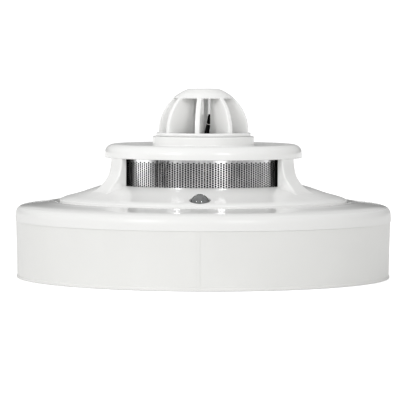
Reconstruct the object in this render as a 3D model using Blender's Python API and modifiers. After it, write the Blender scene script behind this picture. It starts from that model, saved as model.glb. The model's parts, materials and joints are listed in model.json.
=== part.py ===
"""Point smoke and heat detector on a deep twist-lock base.

The detector stands on its back: the mounting face is Z = 0, the dome points up,
and the front, with the indicator lamp, is towards -Y. All lengths below are in
millimetres and are turned into metres where the meshes are made.

Three bodies share the Z axis:
  base   screwed to the ceiling, with the wiring terminals
  head   twists on Z into the base, and carries the electronics and the chamber
  cover  pulls straight off the head for cleaning, and carries the thermistor cage
"""
import math

import bmesh
import bpy
from mathutils import Matrix

MM = 0.001
ROUND_STEPS = 48          # facets of the large turned parts
FINE_STEPS = 24           # facets of the chamber and the cage
SMALL_STEPS = 12          # facets of screws, rivets and holes
GAP = 0.3                 # clearance between neighbouring pieces

# Overall
OUTER_R = 50.0            # shoulder of the head, the widest part
TOTAL_H = 50.0
SEAM_Z = 15.0             # parting line between base and head
FRONT = 270.0             # direction of the front, degrees from +X

# Mounting base
BASE_TOP_R = 49.85
BASE_FOOT_R = 49.5
FOOT_LIP_R = 49.7
FOOT_LIP_H = 0.5
BASE_INNER_R = 47.6
BASE_FLOOR = 2.2
CABLE_ENTRY_R = 11.0
SLOT_WIDTH = 4.6
SLOT_R_IN, SLOT_R_OUT = 27.8, 34.2      # centres of the ends of a fixing slot
ALIGN_RIB_WIDTH = 1.0
ALIGN_RIB_DEPTH = 1.0
ALIGN_RIB_R = 50.0

# Bayonet
BAYONET_ANGLES = (30.0, 150.0, 270.0)
LEDGE_HALF = 9.0          # half the arc of a ledge, degrees
LUG_HALF = 8.0            # half the arc of a lug, degrees
STOP_ARC = 3.0
TWIST = 20.0              # from locked to released, degrees
LEDGE_Z = (8.8, 10.8)
LEDGE_R = 44.5
LUG_Z = (6.5, 8.5)
LUG_R = 46.9

# Terminals
TERMINAL_ANGLES = (45.0, 135.0, 225.0, 315.0)
TERMINAL_R = 35.0         # terminal screw's distance from the axis
BOSS_SIZE = (9.0, 10.0)   # radial, tangential
BOSS_TOP = 4.6
SPRING_T = 0.7
SPRING_WIDTH = 7.0
SPRING_R = (22.0, 39.0)   # from the free tip to the end under the screw
SPRING_BOW_R = (24.5, 26.5)
SPRING_RISE = 2.0
WASHER_SIZE = 7.0
WASHER_T = 0.9
SCREW_R = 1.6
SCREW_HEAD_R = 3.1
SCREW_HEAD_H = 1.9
SCREW_SLOT = (0.8, 0.8)   # width, depth

# Head housing
DECK_R = 37.1             # well opening under the cover
DECK_Z = 19.65            # deck height beside the cover's lip
DECK_EDGE_Z = 19.28       # deck height where the shoulder's round starts
SHOULDER_ROUND = 2.4
WELL_WALL = 1.8
FLOOR_Z = (9.6, 11.0)
SKIRT_R = (42.3, 44.1)
SKIRT_BOTTOM = 6.2
DECK_T = 2.3
SHOULDER_T = 2.2
BOARD_PILLAR_R = 3.0

# Contact blades under the head
BLADE_R = 20.0            # rivet's distance from the axis
BLADE_WIDTH = 6.0
BLADE_T = 0.7
BLADE_TIP_R = 28.5
BLADE_HOLE_R = 1.5
RIVET_R = 1.2
RIVET_HEAD_R = 2.1
RIVET_HEAD_H = 1.0

# Circuit board
BOARD_R = 36.5
BOARD_Z = (13.0, 14.6)
BOARD_SCREW_AXIS_R = 31.0
BOARD_SCREW_ANGLES = (90.0, 210.0, 330.0)
BOARD_SCREW_R = 1.0
BOARD_SCREW_HEAD = (2.4, 1.5)           # radius, height
BOARD_SCREW_SLOT = (0.7, 0.7)           # width, depth
BOARD_HOLE_R = 1.6

# Components on the board: size is radial, tangential, height
BLOCK_COMPONENTS = {              # name: finish, size, distance from the axis, direction
    "relay": ("relay_case", (9.0, 14.0, 5.0), 29.8, 0.0),
    "microcontroller": ("black_epoxy", (7.0, 7.0, 1.4), 30.0, 238.0),
    "surge_suppressor": ("black_epoxy", (5.9, 7.0, 2.3), 30.0, 55.0),
}
COMPONENT_RING_R = 30.0
CAPACITOR_ANGLES = (125.0, 152.0)
CAPACITOR_R = 3.15
CAPACITOR_H = 5.4
REED_ANGLE = 184.0
REED_R = 1.1
REED_LENGTH = 12.0

# Indicator lamp
LED_R = 2.45
LED_AXIS_R = 34.3
LED_TOP = 23.6

# Optical chamber
CHAMBER_R = 22.9
CHAMBER_FLOOR_Z = (14.9, 16.3)
VANE_TOP = 30.7
VANE_COUNT = 32           # one place, at the back, is left to the thermistor's leads
VANE_OUTLINE = ((17.2, -0.6), (19.8, -2.2), (22.3, -0.6), (22.3, 0.6), (19.8, -1.0), (17.2, 0.6))
LID_Z = (31.0, 32.0, 32.8)      # underside, flange underside, top
LID_FLANGE_R = 24.2
PILLAR_HALF = 7.4               # half the arc of a screen pillar, degrees
CHAMBER_CLOCKING = 0.8          # chamber's turn against the cover, degrees
SCREEN_R = (23.25, 23.55)
SCREEN_Z = (16.6, 31.7)
OPTICS_R = 12.5                 # middle of an optical part's holder
OPTICS_Z = 20.0
OPTIC_BODY_R = 2.5
OPTIC_BODY_BACK = 3.6           # from the holder's middle to the body's back end
EMITTER_FRONT, PHOTODIODE_FRONT = 3.2, 2.6
HOLDER_SIZE = (6.0, 8.0)        # radial, tangential
HOLDER_TOP = 24.0
SHIELD_R = (9.2, 15.8)
SHIELD_HALF = 4.8
SHIELD_T = (0.3, 0.45)          # end wall, side walls
EMITTER_ANGLE = 200.0
PHOTODIODE_ANGLE = 335.0

# Cover
LIP_R = 38.2
LIP_Z = (19.95, 20.6)
SILL_R = 24.5
SILL_Z = 24.7
RAMP_POINTS = ((28.0, 24.0), (36.4, 21.45), (37.7, 21.0))
SPIGOT_R = (35.8, 36.8)
SPIGOT_BOTTOM = 16.0
SPIGOT_NOTCH = (6.0, 7.6)       # around the lamp: radial, tangential
PLATE_R = 26.25
PLATE_BOTTOM = 31.8
PLATE_EDGE = 0.4
PLATE_INNER_R = 24.6
PLATE_INNER_Z = 33.2
CREST_Z = 35.35
CREST_ROUND = 2.4
DISH_Z = 34.95                  # plate's height at the collar's foot
COLLAR_R = 13.5
COLLAR_EDGE = 0.3
COLLAR_TOP = 37.2
COLLAR_BORE_R = 11.9
STRUT_ANGLES = (90.0, 210.0, 330.0)
STRUT_WIDTH = 6.2
STRUT_INNER_R = 24.6
STRUT_FLARE = ((25.9, 31.2), (26.2, 29.1), (27.1, 26.7), (28.3, 25.2), (30.2, 23.3))
STRUT_FOOT = (29.0, 22.6)

# Thermistor cage
CAGE_SPHERE_R = 12.0
CAGE_SPHERE_Z = 38.7
CAGE_CAP_Z = 47.5
CAGE_FLANGE_R = 12.55
CAGE_FLANGE_Z = (37.5, 38.2)
CAGE_RING_R = (10.4, 11.6)
CAGE_RING_BOTTOM = 34.0
FIN_COUNT = 8
FIN_T = 1.25
FIN_INNER_R = 3.65
FIN_CLOCKING = -6.6

# Thermistor
LEAD_WIRE_R = 0.25
LEAD_X = (-0.1, 1.1)
LEAD_Y = 19.8
LEAD_Z = 32.45
LEAD_BEND = 1.0
LEAD_SLOT = (2.6, 2.2)          # width, length
SLEEVE_R = 0.6
SLEEVE_ROUTE = ((0.5, 32.65), (0.75, 36.5), (0.88, 38.3), (1.36, 40.5))      # x, z
BEAD_R = 0.45
BEAD_X = 1.7
BEAD_Z = (40.85, 43.35)

# Colours: name: (red, green, blue), roughness, metallic
FINISHES = {
    "white_plastic": ((0.84, 0.84, 0.82), 0.32, 0.0),
    "black_plastic": ((0.015, 0.015, 0.016), 0.45, 0.0),
    "spring_steel": ((0.62, 0.61, 0.58), 0.28, 1.0),
    "plated_steel": ((0.70, 0.69, 0.66), 0.30, 1.0),
    "screen_steel": ((0.60, 0.60, 0.60), 0.35, 1.0),
    "board_laminate": ((0.02, 0.16, 0.06), 0.45, 0.0),
    "clear_epoxy": ((0.78, 0.80, 0.80), 0.08, 0.0),
    "tinned_copper": ((0.72, 0.68, 0.62), 0.30, 1.0),
    "black_epoxy": ((0.012, 0.012, 0.013), 0.30, 0.0),
    "relay_case": ((0.80, 0.79, 0.74), 0.40, 0.0),
    "can_aluminium": ((0.75, 0.75, 0.76), 0.30, 1.0),
    "glass_tube": ((0.45, 0.60, 0.55), 0.08, 0.0),
}


# ---------------------------------------------------------------- scene set-up

def clear_scene():
    """Remove every object and material that the file starts with."""
    for obj in list(bpy.data.objects):
        bpy.data.objects.remove(obj)
    for material in list(bpy.data.materials):
        bpy.data.materials.remove(material)


def new_collection(name):
    collection = bpy.data.collections.new(name)
    bpy.context.scene.collection.children.link(collection)
    return collection


def new_material(node_name, finish):
    """A Principled material of one piece, in one of the finishes above."""
    colour, roughness, metallic = FINISHES[finish]
    material = bpy.data.materials.new(f"{node_name}_{finish}")
    material.use_nodes = True
    shader = material.node_tree.nodes["Principled BSDF"]
    shader.inputs["Base Color"].default_value = (*colour, 1.0)
    shader.inputs["Roughness"].default_value = roughness
    shader.inputs["Metallic"].default_value = metallic
    material.diffuse_color = (*colour, 1.0)
    return material


def new_empty(name, parent=None):
    """An empty on the common Z axis, which the pieces of one body hang on."""
    empty = bpy.data.objects.new(name, None)
    PARTS.objects.link(empty)
    empty.parent = parent
    return empty


# ---------------------------------------------------------------- mesh makers

def polar(radius, degrees):
    angle = math.radians(degrees)
    return radius * math.cos(angle), radius * math.sin(angle)


def arc(centre, radius, start, end, steps):
    """Points of an arc in its plane, both ends included; angles in degrees."""
    points = []
    for step in range(steps + 1):
        x, y = polar(radius, start + (end - start) * step / steps)
        points.append((centre[0] + x, centre[1] + y))
    return points


def turn_to(degrees):
    """Rotation about Z that carries +X to the given direction."""
    return Matrix.Rotation(math.radians(degrees), 4, "Z")


UPRIGHT = Matrix.Rotation(math.radians(90.0), 4, "X")     # outline's Y becomes Z


def box_mesh(size, centre, matrix=Matrix.Identity(4)):
    bm = bmesh.new()
    scale = Matrix.Diagonal((*(side * MM for side in size), 1.0))
    place = Matrix.Translation([value * MM for value in centre])
    bmesh.ops.create_cube(bm, size=1.0, matrix=matrix @ place @ scale)
    return finish_mesh(bm)


def rod_mesh(radius, z_low, z_high, centre=(0.0, 0.0), steps=SMALL_STEPS):
    """An upright cylinder."""
    bm = bmesh.new()
    middle = (centre[0] * MM, centre[1] * MM, (z_low + z_high) / 2 * MM)
    bmesh.ops.create_cone(
        bm, cap_ends=True, segments=steps, radius1=radius * MM, radius2=radius * MM,
        depth=(z_high - z_low) * MM, matrix=Matrix.Translation(middle))
    return finish_mesh(bm)


def plate_mesh(outlines, low, high, matrix=Matrix.Identity(4)):
    """A flat outline, with any holes in it, thickened from low to high."""
    curve = bpy.data.curves.new("outline", "CURVE")
    curve.dimensions = "2D"
    curve.fill_mode = "BOTH"
    curve.extrude = (high - low) / 2 * MM
    for outline in outlines:
        spline = curve.splines.new("POLY")
        spline.points.add(len(outline) - 1)
        spline.use_cyclic_u = True
        for point, (x, y) in zip(spline.points, outline):
            point.co = (x * MM, y * MM, 0.0, 1.0)
    lift = Matrix.Translation((0.0, 0.0, (low + high) / 2 * MM))
    return mesh_from_curve(curve, matrix @ lift)


def wire_mesh(points, radius, matrix=Matrix.Identity(4)):
    """A round wire along the points, with closed ends."""
    curve = bpy.data.curves.new("wire", "CURVE")
    curve.dimensions = "3D"
    curve.bevel_depth = radius * MM
    curve.bevel_resolution = 2
    curve.use_fill_caps = True
    spline = curve.splines.new("POLY")
    spline.points.add(len(points) - 1)
    for point, place in zip(spline.points, points):
        point.co = (*(value * MM for value in place), 1.0)
    return mesh_from_curve(curve, matrix)


def mesh_from_curve(curve, matrix):
    """The curve's own surface as one welded mesh."""
    holder = bpy.data.objects.new("curve_holder", curve)
    CUTTERS.objects.link(holder)
    bpy.context.view_layer.update()
    depsgraph = bpy.context.evaluated_depsgraph_get()
    mesh = bpy.data.meshes.new_from_object(holder.evaluated_get(depsgraph))
    bpy.data.objects.remove(holder)
    bpy.data.curves.remove(curve)
    bm = bmesh.new()
    bm.from_mesh(mesh)
    bpy.data.meshes.remove(mesh)
    bm.transform(matrix)
    return finish_mesh(bm)


def finish_mesh(bm):
    """Weld, point the faces outward and hand over as a mesh."""
    bmesh.ops.remove_doubles(bm, verts=bm.verts, dist=0.001 * MM)
    bmesh.ops.recalc_face_normals(bm, faces=bm.faces)
    mesh = bpy.data.meshes.new("piece")
    bm.to_mesh(mesh)
    bm.free()
    return mesh


def merged(meshes):
    """Several meshes that don't touch, as one mesh."""
    bm = bmesh.new()
    for mesh in meshes:
        bm.from_mesh(mesh)
        bpy.data.meshes.remove(mesh)
    mesh = bpy.data.meshes.new("group")
    bm.to_mesh(mesh)
    bm.free()
    return mesh


def taken_mesh(piece):
    """The finished mesh of a turned piece, which is removed, for use as a tool."""
    bpy.context.view_layer.update()
    depsgraph = bpy.context.evaluated_depsgraph_get()
    mesh = bpy.data.meshes.new_from_object(piece.evaluated_get(depsgraph))
    bpy.data.objects.remove(piece)
    mesh.materials.clear()
    return mesh


def sector_mesh(r_in, r_out, start, end, z_low, z_high, steps=4):
    """A block between two radii and two directions."""
    outline = arc((0.0, 0.0), r_out, start, end, steps)
    outline += arc((0.0, 0.0), r_in, end, start, steps)
    return plate_mesh([outline], z_low, z_high)


# ---------------------------------------------------------------- object makers

def add_piece(name, mesh, finish, parent):
    piece = bpy.data.objects.new(name, mesh)
    PARTS.objects.link(piece)
    piece.parent = parent
    mesh.materials.append(new_material(name, finish))
    mesh.shade_smooth()
    mesh.set_sharp_from_angle(angle=math.radians(30.0))
    return piece


def add_turned(name, profile, finish, parent, steps=ROUND_STEPS, closed=False, centre=(0.0, 0.0)):
    """A turned piece. The profile runs down the outer side, top to bottom."""
    mesh = bpy.data.meshes.new(name)
    edges = [(i, i + 1) for i in range(len(profile) - 1)]
    if closed:
        edges.append((len(profile) - 1, 0))
    mesh.from_pydata([(r * MM, 0.0, z * MM) for r, z in profile], edges, [])
    piece = bpy.data.objects.new(name, mesh)
    PARTS.objects.link(piece)
    piece.parent = parent
    piece.location = (centre[0] * MM, centre[1] * MM, 0.0)
    mesh.materials.append(new_material(name, finish))
    screw = piece.modifiers.new("turned", "SCREW")
    screw.steps = steps
    screw.render_steps = steps
    screw.use_merge_vertices = True
    screw.merge_threshold = 0.001 * MM
    screw.use_smooth_shade = True
    return piece


def apply_boolean(piece, mesh, operation):
    """Cut the mesh from the piece, or join it to the piece."""
    tool = bpy.data.objects.new(f"{piece.name}_{operation.lower()}", mesh)
    CUTTERS.objects.link(tool)
    tool.hide_render = True
    tool.display_type = "WIRE"
    tool.parent = piece.parent
    modifier = piece.modifiers.new(operation.lower(), "BOOLEAN")
    modifier.operation = operation
    modifier.solver = "EXACT"
    modifier.object = tool


def screw_mesh(radius, z_tip, z_head, head_r, head_h, centre=(0.0, 0.0)):
    """A pan-head screw or rivet, upright: a shank and a head that overlap."""
    shank = rod_mesh(radius, z_tip, z_head + head_h / 2, centre, steps=8)
    head = rod_mesh(head_r, z_head, z_head + head_h, centre)
    return shank, head


def slot_mesh(axis_r, top, head_r, size, angle):
    """The cutter for a driver slot across the whole head of a screw."""
    width, depth = size
    return box_mesh((head_r * 3, width, depth * 2), (axis_r, 0.0, top), turn_to(angle))


def add_headed(name, shank, head, finish, parent, slot=None):
    """A fastener: its shank joined to its head, with an optional driver slot."""
    piece = add_piece(name, head, finish, parent)
    apply_boolean(piece, shank, "UNION")
    if slot:
        apply_boolean(piece, slot, "DIFFERENCE")
    return piece


# ---------------------------------------------------------------- mounting base

def make_base(base):
    profile = [
        (BASE_INNER_R, SEAM_Z - GAP / 2), (BASE_TOP_R, SEAM_Z - GAP / 2),
        (BASE_FOOT_R, FOOT_LIP_H + 0.2), (FOOT_LIP_R, FOOT_LIP_H), (FOOT_LIP_R, 0.0),
        (CABLE_ENTRY_R, 0.0), (CABLE_ENTRY_R, BASE_FLOOR), (BASE_INNER_R, BASE_FLOOR)]
    piece = add_turned("mounting_base", profile, "white_plastic", base, closed=True)
    added = base_bayonet_meshes() + base_boss_meshes() + [align_rib_mesh()]
    apply_boolean(piece, merged(added), "UNION")
    apply_boolean(piece, merged(base_hole_meshes()), "DIFFERENCE")


def base_bayonet_meshes():
    """Ledges inside the wall, with a stop at each end of the lug's travel."""
    wall = BASE_INNER_R + 1.0
    blocks = []
    for centre in BAYONET_ANGLES:
        ledge_end = centre - LEDGE_HALF
        released = centre + TWIST + LUG_HALF + 1.0
        blocks.append(sector_mesh(LEDGE_R, wall, ledge_end, centre + LEDGE_HALF, *LEDGE_Z))
        blocks.append(sector_mesh(LEDGE_R, wall, released, released + STOP_ARC,
                                  BASE_FLOOR - 1.0, LEDGE_Z[1], steps=2))
    return blocks


def base_boss_meshes():
    """Bosses that carry the terminals."""
    blocks = []
    for angle in TERMINAL_ANGLES:
        size = (*BOSS_SIZE, BOSS_TOP - BASE_FLOOR + 1.0)
        centre = (TERMINAL_R, 0.0, (BOSS_TOP + BASE_FLOOR - 1.0) / 2)
        blocks.append(box_mesh(size, centre, turn_to(angle)))
    return blocks


def base_hole_meshes():
    """Four fixing slots through the floor, and a screw hole in each boss."""
    cutters = []
    for angle in (0.0, 90.0, 180.0, 270.0):
        half = SLOT_WIDTH / 2
        outline = arc((SLOT_R_OUT, 0.0), half, -90.0, 90.0, 6)
        outline += arc((SLOT_R_IN, 0.0), half, 90.0, 270.0, 6)
        cutters.append(plate_mesh([outline], -1.0, BASE_FLOOR + 1.0, turn_to(angle)))
    for angle in TERMINAL_ANGLES:
        hole_bottom = BASE_FLOOR + 0.4
        cutters.append(rod_mesh(SCREW_R + GAP, hole_bottom, BOSS_TOP + 1.0,
                                polar(TERMINAL_R, angle)))
    return cutters


def align_rib_mesh():
    """The upright rib on the front that the head's mark lines up with."""
    low, high = FOOT_LIP_H + 0.1, SEAM_Z - GAP
    centre = (ALIGN_RIB_R - ALIGN_RIB_DEPTH / 2, 0.0, (low + high) / 2)
    return box_mesh((ALIGN_RIB_DEPTH, ALIGN_RIB_WIDTH, high - low), centre, turn_to(FRONT))


def make_terminals(base):
    """Spring contact, clamp washer and screw at each of the four terminals."""
    spring_z = BOSS_TOP + GAP
    washer_z = spring_z + SPRING_T + GAP
    head_z = washer_z + WASHER_T + GAP
    for number, angle in enumerate(TERMINAL_ANGLES, start=1):
        place = polar(TERMINAL_R, angle)
        hole = rod_mesh(SCREW_R + GAP, spring_z - 1.0, head_z, place)
        spring = add_piece(f"terminal_spring_{number}", spring_mesh(spring_z, angle),
                           "spring_steel", base)
        apply_boolean(spring, hole, "DIFFERENCE")
        half = WASHER_SIZE / 2
        square = [(TERMINAL_R + half * x, half * y) for x, y in ((1, 1), (-1, 1), (-1, -1), (1, -1))]
        round_hole = arc((TERMINAL_R, 0.0), SCREW_R + GAP, 0.0, 330.0, SMALL_STEPS - 1)
        washer = plate_mesh([square, round_hole], washer_z, washer_z + WASHER_T, turn_to(angle))
        add_piece(f"clamp_washer_{number}", washer, "plated_steel", base)
        shank, head = screw_mesh(SCREW_R, BASE_FLOOR + 0.8, head_z, SCREW_HEAD_R,
                                 SCREW_HEAD_H, place)
        slot = slot_mesh(TERMINAL_R, head_z + SCREW_HEAD_H, SCREW_HEAD_R, SCREW_SLOT, angle)
        add_headed(f"terminal_screw_{number}", shank, head, "plated_steel", base, slot)


def spring_mesh(z, angle):
    """A strip that lies on the boss and bows up where the head's blade rides on it."""
    tip, end = SPRING_R
    bow_in, bow_out = SPRING_BOW_R
    root, bow_z = TERMINAL_R - BOSS_SIZE[0] / 2, z + SPRING_RISE
    upper = [(end, z + SPRING_T), (root, z + SPRING_T), (bow_out, bow_z), (bow_in, bow_z),
             (tip, z + SPRING_T)]
    lower = [(tip, z), (bow_in, bow_z - SPRING_T), (bow_out, bow_z - SPRING_T), (root, z), (end, z)]
    half = SPRING_WIDTH / 2
    return plate_mesh([upper + lower], -half, half, turn_to(angle) @ UPRIGHT)


# ---------------------------------------------------------------- head

def make_housing(head):
    """Deck and shoulder, a well for the electronics, and the bayonet skirt."""
    round_centre = (OUTER_R - SHOULDER_ROUND, DECK_EDGE_Z - SHOULDER_ROUND)
    well_r, inside_r = DECK_R + WELL_WALL, OUTER_R - SHOULDER_T
    profile = [(0.0, FLOOR_Z[1]), (DECK_R, FLOOR_Z[1]), (DECK_R, DECK_Z)]
    profile += arc(round_centre, SHOULDER_ROUND, 90.0, 0.0, 4)
    profile += [
        (OUTER_R, SEAM_Z + GAP / 2), (inside_r, SEAM_Z + GAP / 2),
        (inside_r, DECK_EDGE_Z - DECK_T), (SKIRT_R[1], DECK_EDGE_Z - DECK_T),
        (SKIRT_R[1], SKIRT_BOTTOM), (SKIRT_R[0], SKIRT_BOTTOM),
        (SKIRT_R[0], DECK_EDGE_Z - DECK_T), (well_r, DECK_EDGE_Z - DECK_T),
        (well_r, FLOOR_Z[0]), (0.0, FLOOR_Z[0])]
    piece = add_turned("head_housing", profile, "white_plastic", head)
    added = [sector_mesh(SKIRT_R[1] - 1.0, LUG_R, angle - LUG_HALF, angle + LUG_HALF, *LUG_Z)
             for angle in BAYONET_ANGLES]
    for angle in BOARD_SCREW_ANGLES:
        added.append(rod_mesh(BOARD_PILLAR_R, FLOOR_Z[1] - 0.7, BOARD_Z[0] - GAP,
                              polar(BOARD_SCREW_AXIS_R, angle)))
    apply_boolean(piece, merged(added), "UNION")
    holes = [rod_mesh(BLADE_HOLE_R, FLOOR_Z[0] - 1.0, FLOOR_Z[1] + 1.0, polar(BLADE_R, angle))
             for angle in TERMINAL_ANGLES]
    for angle in BOARD_SCREW_ANGLES:
        holes.append(rod_mesh(BOARD_SCREW_R + GAP, FLOOR_Z[0] + 0.5, BOARD_Z[0] + 1.0,
                              polar(BOARD_SCREW_AXIS_R, angle)))
    apply_boolean(piece, merged(holes), "DIFFERENCE")


def make_contacts(head):
    """Blades under the floor that ride on the base's springs, and their rivets."""
    top = FLOOR_Z[0] - GAP
    ride = BOSS_TOP + GAP + SPRING_RISE + GAP
    heel, knee = BLADE_R - 3.5, BLADE_R + 3.0
    outline = [
        (heel, top), (knee, top), (knee + 1.2, ride + BLADE_T), (BLADE_TIP_R, ride + BLADE_T),
        (BLADE_TIP_R, ride), (knee + 0.6, ride), (knee - 0.6, top - BLADE_T),
        (heel, top - BLADE_T)]
    half = BLADE_WIDTH / 2
    for number, angle in enumerate(TERMINAL_ANGLES, start=1):
        place = polar(BLADE_R, angle)
        mesh = plate_mesh([outline], -half, half, turn_to(angle) @ UPRIGHT)
        blade = add_piece(f"contact_blade_{number}", mesh, "spring_steel", head)
        apply_boolean(blade, rod_mesh(BLADE_HOLE_R, ride, FLOOR_Z[0] + 1.0, place), "DIFFERENCE")
        head_low = top - BLADE_T - GAP - RIVET_HEAD_H
        shank = rod_mesh(RIVET_R, head_low + RIVET_HEAD_H / 2, BOARD_Z[0] - GAP, place, steps=8)
        cap = rod_mesh(RIVET_HEAD_R, head_low, head_low + RIVET_HEAD_H, place)
        add_headed(f"contact_rivet_{number}", shank, cap, "tinned_copper", head)


def make_board(head):
    disc = arc((0.0, 0.0), BOARD_R, 0.0, 352.5, ROUND_STEPS - 1)
    holes = [arc(polar(BOARD_SCREW_AXIS_R, angle), BOARD_HOLE_R, 0.0, 330.0, SMALL_STEPS - 1)
             for angle in BOARD_SCREW_ANGLES]
    add_piece("circuit_board", plate_mesh([disc, *holes], *BOARD_Z), "board_laminate", head)
    head_z = BOARD_Z[1] + GAP
    head_r, head_h = BOARD_SCREW_HEAD
    for number, angle in enumerate(BOARD_SCREW_ANGLES, start=1):
        shank, cap = screw_mesh(BOARD_SCREW_R, FLOOR_Z[0] + 0.8, head_z, head_r, head_h,
                                polar(BOARD_SCREW_AXIS_R, angle))
        slot = slot_mesh(BOARD_SCREW_AXIS_R, head_z + head_h, head_r, BOARD_SCREW_SLOT, angle)
        add_headed(f"board_screw_{number}", shank, cap, "plated_steel", head, slot)


def make_components(head):
    """The larger parts on the board, in the ring outside the chamber."""
    z = BOARD_Z[1] + GAP
    for name, (finish, size, radius, angle) in BLOCK_COMPONENTS.items():
        block = box_mesh(size, (radius, 0.0, z + size[2] / 2), turn_to(angle))
        add_piece(name, block, finish, head)
    for number, angle in enumerate(CAPACITOR_ANGLES, start=1):
        can = rod_mesh(CAPACITOR_R, z, z + CAPACITOR_H, polar(COMPONENT_RING_R, angle), steps=16)
        add_piece(f"capacitor_{number}", can, "can_aluminium", head)
    reed = [(COMPONENT_RING_R, y, z + REED_R) for y in (-REED_LENGTH / 2, REED_LENGTH / 2)]
    add_piece("reed_switch", wire_mesh(reed, REED_R, turn_to(REED_ANGLE)), "glass_tube", head)
    profile = arc((0.0, LED_TOP - LED_R), LED_R, 90.0, 0.0, 5) + [(LED_R, z), (0.0, z)]
    add_turned("status_led", profile, "clear_epoxy", head, steps=20,
               centre=polar(LED_AXIS_R, FRONT))


def make_chamber(head):
    """Black optical chamber: a floor with light-baffling vanes and two holders."""
    floor = [(0.0, CHAMBER_FLOOR_Z[1]), (CHAMBER_R, CHAMBER_FLOOR_Z[1]),
             (CHAMBER_R, CHAMBER_FLOOR_Z[0]), (0.0, CHAMBER_FLOOR_Z[0])]
    base = add_turned("chamber_base", floor, "black_plastic", head, steps=FINE_STEPS)
    embed = CHAMBER_FLOOR_Z[1] - 0.4
    walls = []
    for number in range(1, VANE_COUNT):
        angle = 90.0 + 360.0 * number / VANE_COUNT
        walls.append(plate_mesh([VANE_OUTLINE], embed, VANE_TOP, turn_to(angle)))
    bores = [box_mesh((*LEAD_SLOT, 6.0), (sum(LEAD_X) / 2, LEAD_Y, CHAMBER_FLOOR_Z[0]))]
    for angle in (EMITTER_ANGLE, PHOTODIODE_ANGLE):
        holder = (*HOLDER_SIZE, HOLDER_TOP - embed)
        walls.append(box_mesh(holder, (OPTICS_R, 0.0, (HOLDER_TOP + embed) / 2), turn_to(angle)))
        bores.append(radial_rod(OPTIC_BODY_R + GAP, OPTICS_R - 4.0, OPTICS_R + 4.0, angle))
    apply_boolean(base, merged(walls), "UNION")
    apply_boolean(base, merged(bores), "DIFFERENCE")


def radial_rod(radius, r_in, r_out, angle, steps=SMALL_STEPS):
    """A cylinder that lies along a radius at the height of the optics."""
    bm = bmesh.new()
    lie = Matrix.Rotation(math.radians(90.0), 4, "Y")
    place = Matrix.Translation(((r_in + r_out) / 2 * MM, 0.0, OPTICS_Z * MM))
    bmesh.ops.create_cone(
        bm, cap_ends=True, segments=steps, radius1=radius * MM, radius2=radius * MM,
        depth=(r_out - r_in) * MM, matrix=turn_to(angle) @ place @ lie)
    return finish_mesh(bm)


def make_chamber_lid(head):
    """The chamber's roof, with three pillars outside the screen and a groove for the leads."""
    lower, flange, top = LID_Z
    profile = [(0.0, top), (LID_FLANGE_R, top), (LID_FLANGE_R, flange),
               (CHAMBER_R, flange), (CHAMBER_R, lower), (0.0, lower)]
    lid = add_turned("chamber_lid", profile, "black_plastic", head)
    pillars = [sector_mesh(SCREEN_R[1] + GAP, LID_FLANGE_R,
                           angle + CHAMBER_CLOCKING - PILLAR_HALF,
                           angle + CHAMBER_CLOCKING + PILLAR_HALF,
                           SCREEN_Z[0] + 0.4, flange + 0.4) for angle in STRUT_ANGLES]
    apply_boolean(lid, merged(pillars), "UNION")
    middle_x = sum(LEAD_X) / 2
    groove_back = LEAD_Y + LEAD_SLOT[1] / 2
    groove = box_mesh((LEAD_SLOT[0], groove_back + 1.3, 2.0),
                      (middle_x, (groove_back - 1.3) / 2, LEAD_Z - 0.55 + 1.0))
    slot = box_mesh((LEAD_SLOT[0] - 0.01, LEAD_SLOT[1] - 0.01, 4.0), (middle_x, LEAD_Y, lower))
    apply_boolean(lid, groove, "DIFFERENCE")
    apply_boolean(lid, slot, "DIFFERENCE")


def make_screen(head):
    """The insect screen, a rolled strip of perforated sheet, drawn plain."""
    r_in, r_out = SCREEN_R
    low, high = SCREEN_Z
    profile = [(r_in, high), (r_out, high), (r_out, low), (r_in, low)]
    add_turned("insect_screen", profile, "screen_steel", head, closed=True)


def make_optics(head):
    """Infrared emitter and photodiode in their holders, and the diode's shield."""
    back = OPTICS_R - OPTIC_BODY_BACK
    emitter = radial_rod(OPTIC_BODY_R, back, OPTICS_R + EMITTER_FRONT, EMITTER_ANGLE)
    add_piece("infrared_emitter", emitter, "clear_epoxy", head)
    photodiode = radial_rod(OPTIC_BODY_R, back, OPTICS_R + PHOTODIODE_FRONT, PHOTODIODE_ANGLE)
    add_piece("photodiode", photodiode, "black_epoxy", head)
    (inner, outer), (end_t, side_t) = SHIELD_R, SHIELD_T
    half, inside = SHIELD_HALF, SHIELD_HALF - side_t
    outline = [(inner, -half), (outer, -half), (outer, half), (inner, half),
               (inner, inside), (outer - end_t, inside), (outer - end_t, -inside), (inner, -inside)]
    shield = plate_mesh([outline], CHAMBER_FLOOR_Z[1] + GAP, HOLDER_TOP, turn_to(PHOTODIODE_ANGLE))
    add_piece("photodiode_shield", shield, "plated_steel", head)


def make_thermistor(head):
    """Two leads up through the chamber and along the lid, a sleeve and the bead."""
    bend = arc((LEAD_Y - LEAD_BEND, LEAD_Z - LEAD_BEND), LEAD_BEND, 0.0, 90.0, 3)
    for number, x in enumerate(LEAD_X, start=1):
        route = [(x, LEAD_Y, BOARD_Z[1] + GAP)] + [(x, y, z) for y, z in bend]
        route.append((x, 1.0, LEAD_Z))
        add_piece(f"thermistor_lead_{number}", wire_mesh(route, LEAD_WIRE_R),
                  "tinned_copper", head)
    sleeve = [(x, 0.0, z) for x, z in SLEEVE_ROUTE]
    add_piece("thermistor_sleeve", wire_mesh(sleeve, SLEEVE_R), "black_plastic", head)
    low, high = BEAD_Z
    profile = arc((0.0, high - BEAD_R), BEAD_R, 90.0, 0.0, 3)
    profile += arc((0.0, low + BEAD_R), BEAD_R, 0.0, -90.0, 3)
    add_turned("thermistor_bead", profile, "black_epoxy", head, steps=SMALL_STEPS,
               centre=(BEAD_X, 0.0))


# ---------------------------------------------------------------- cover

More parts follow.
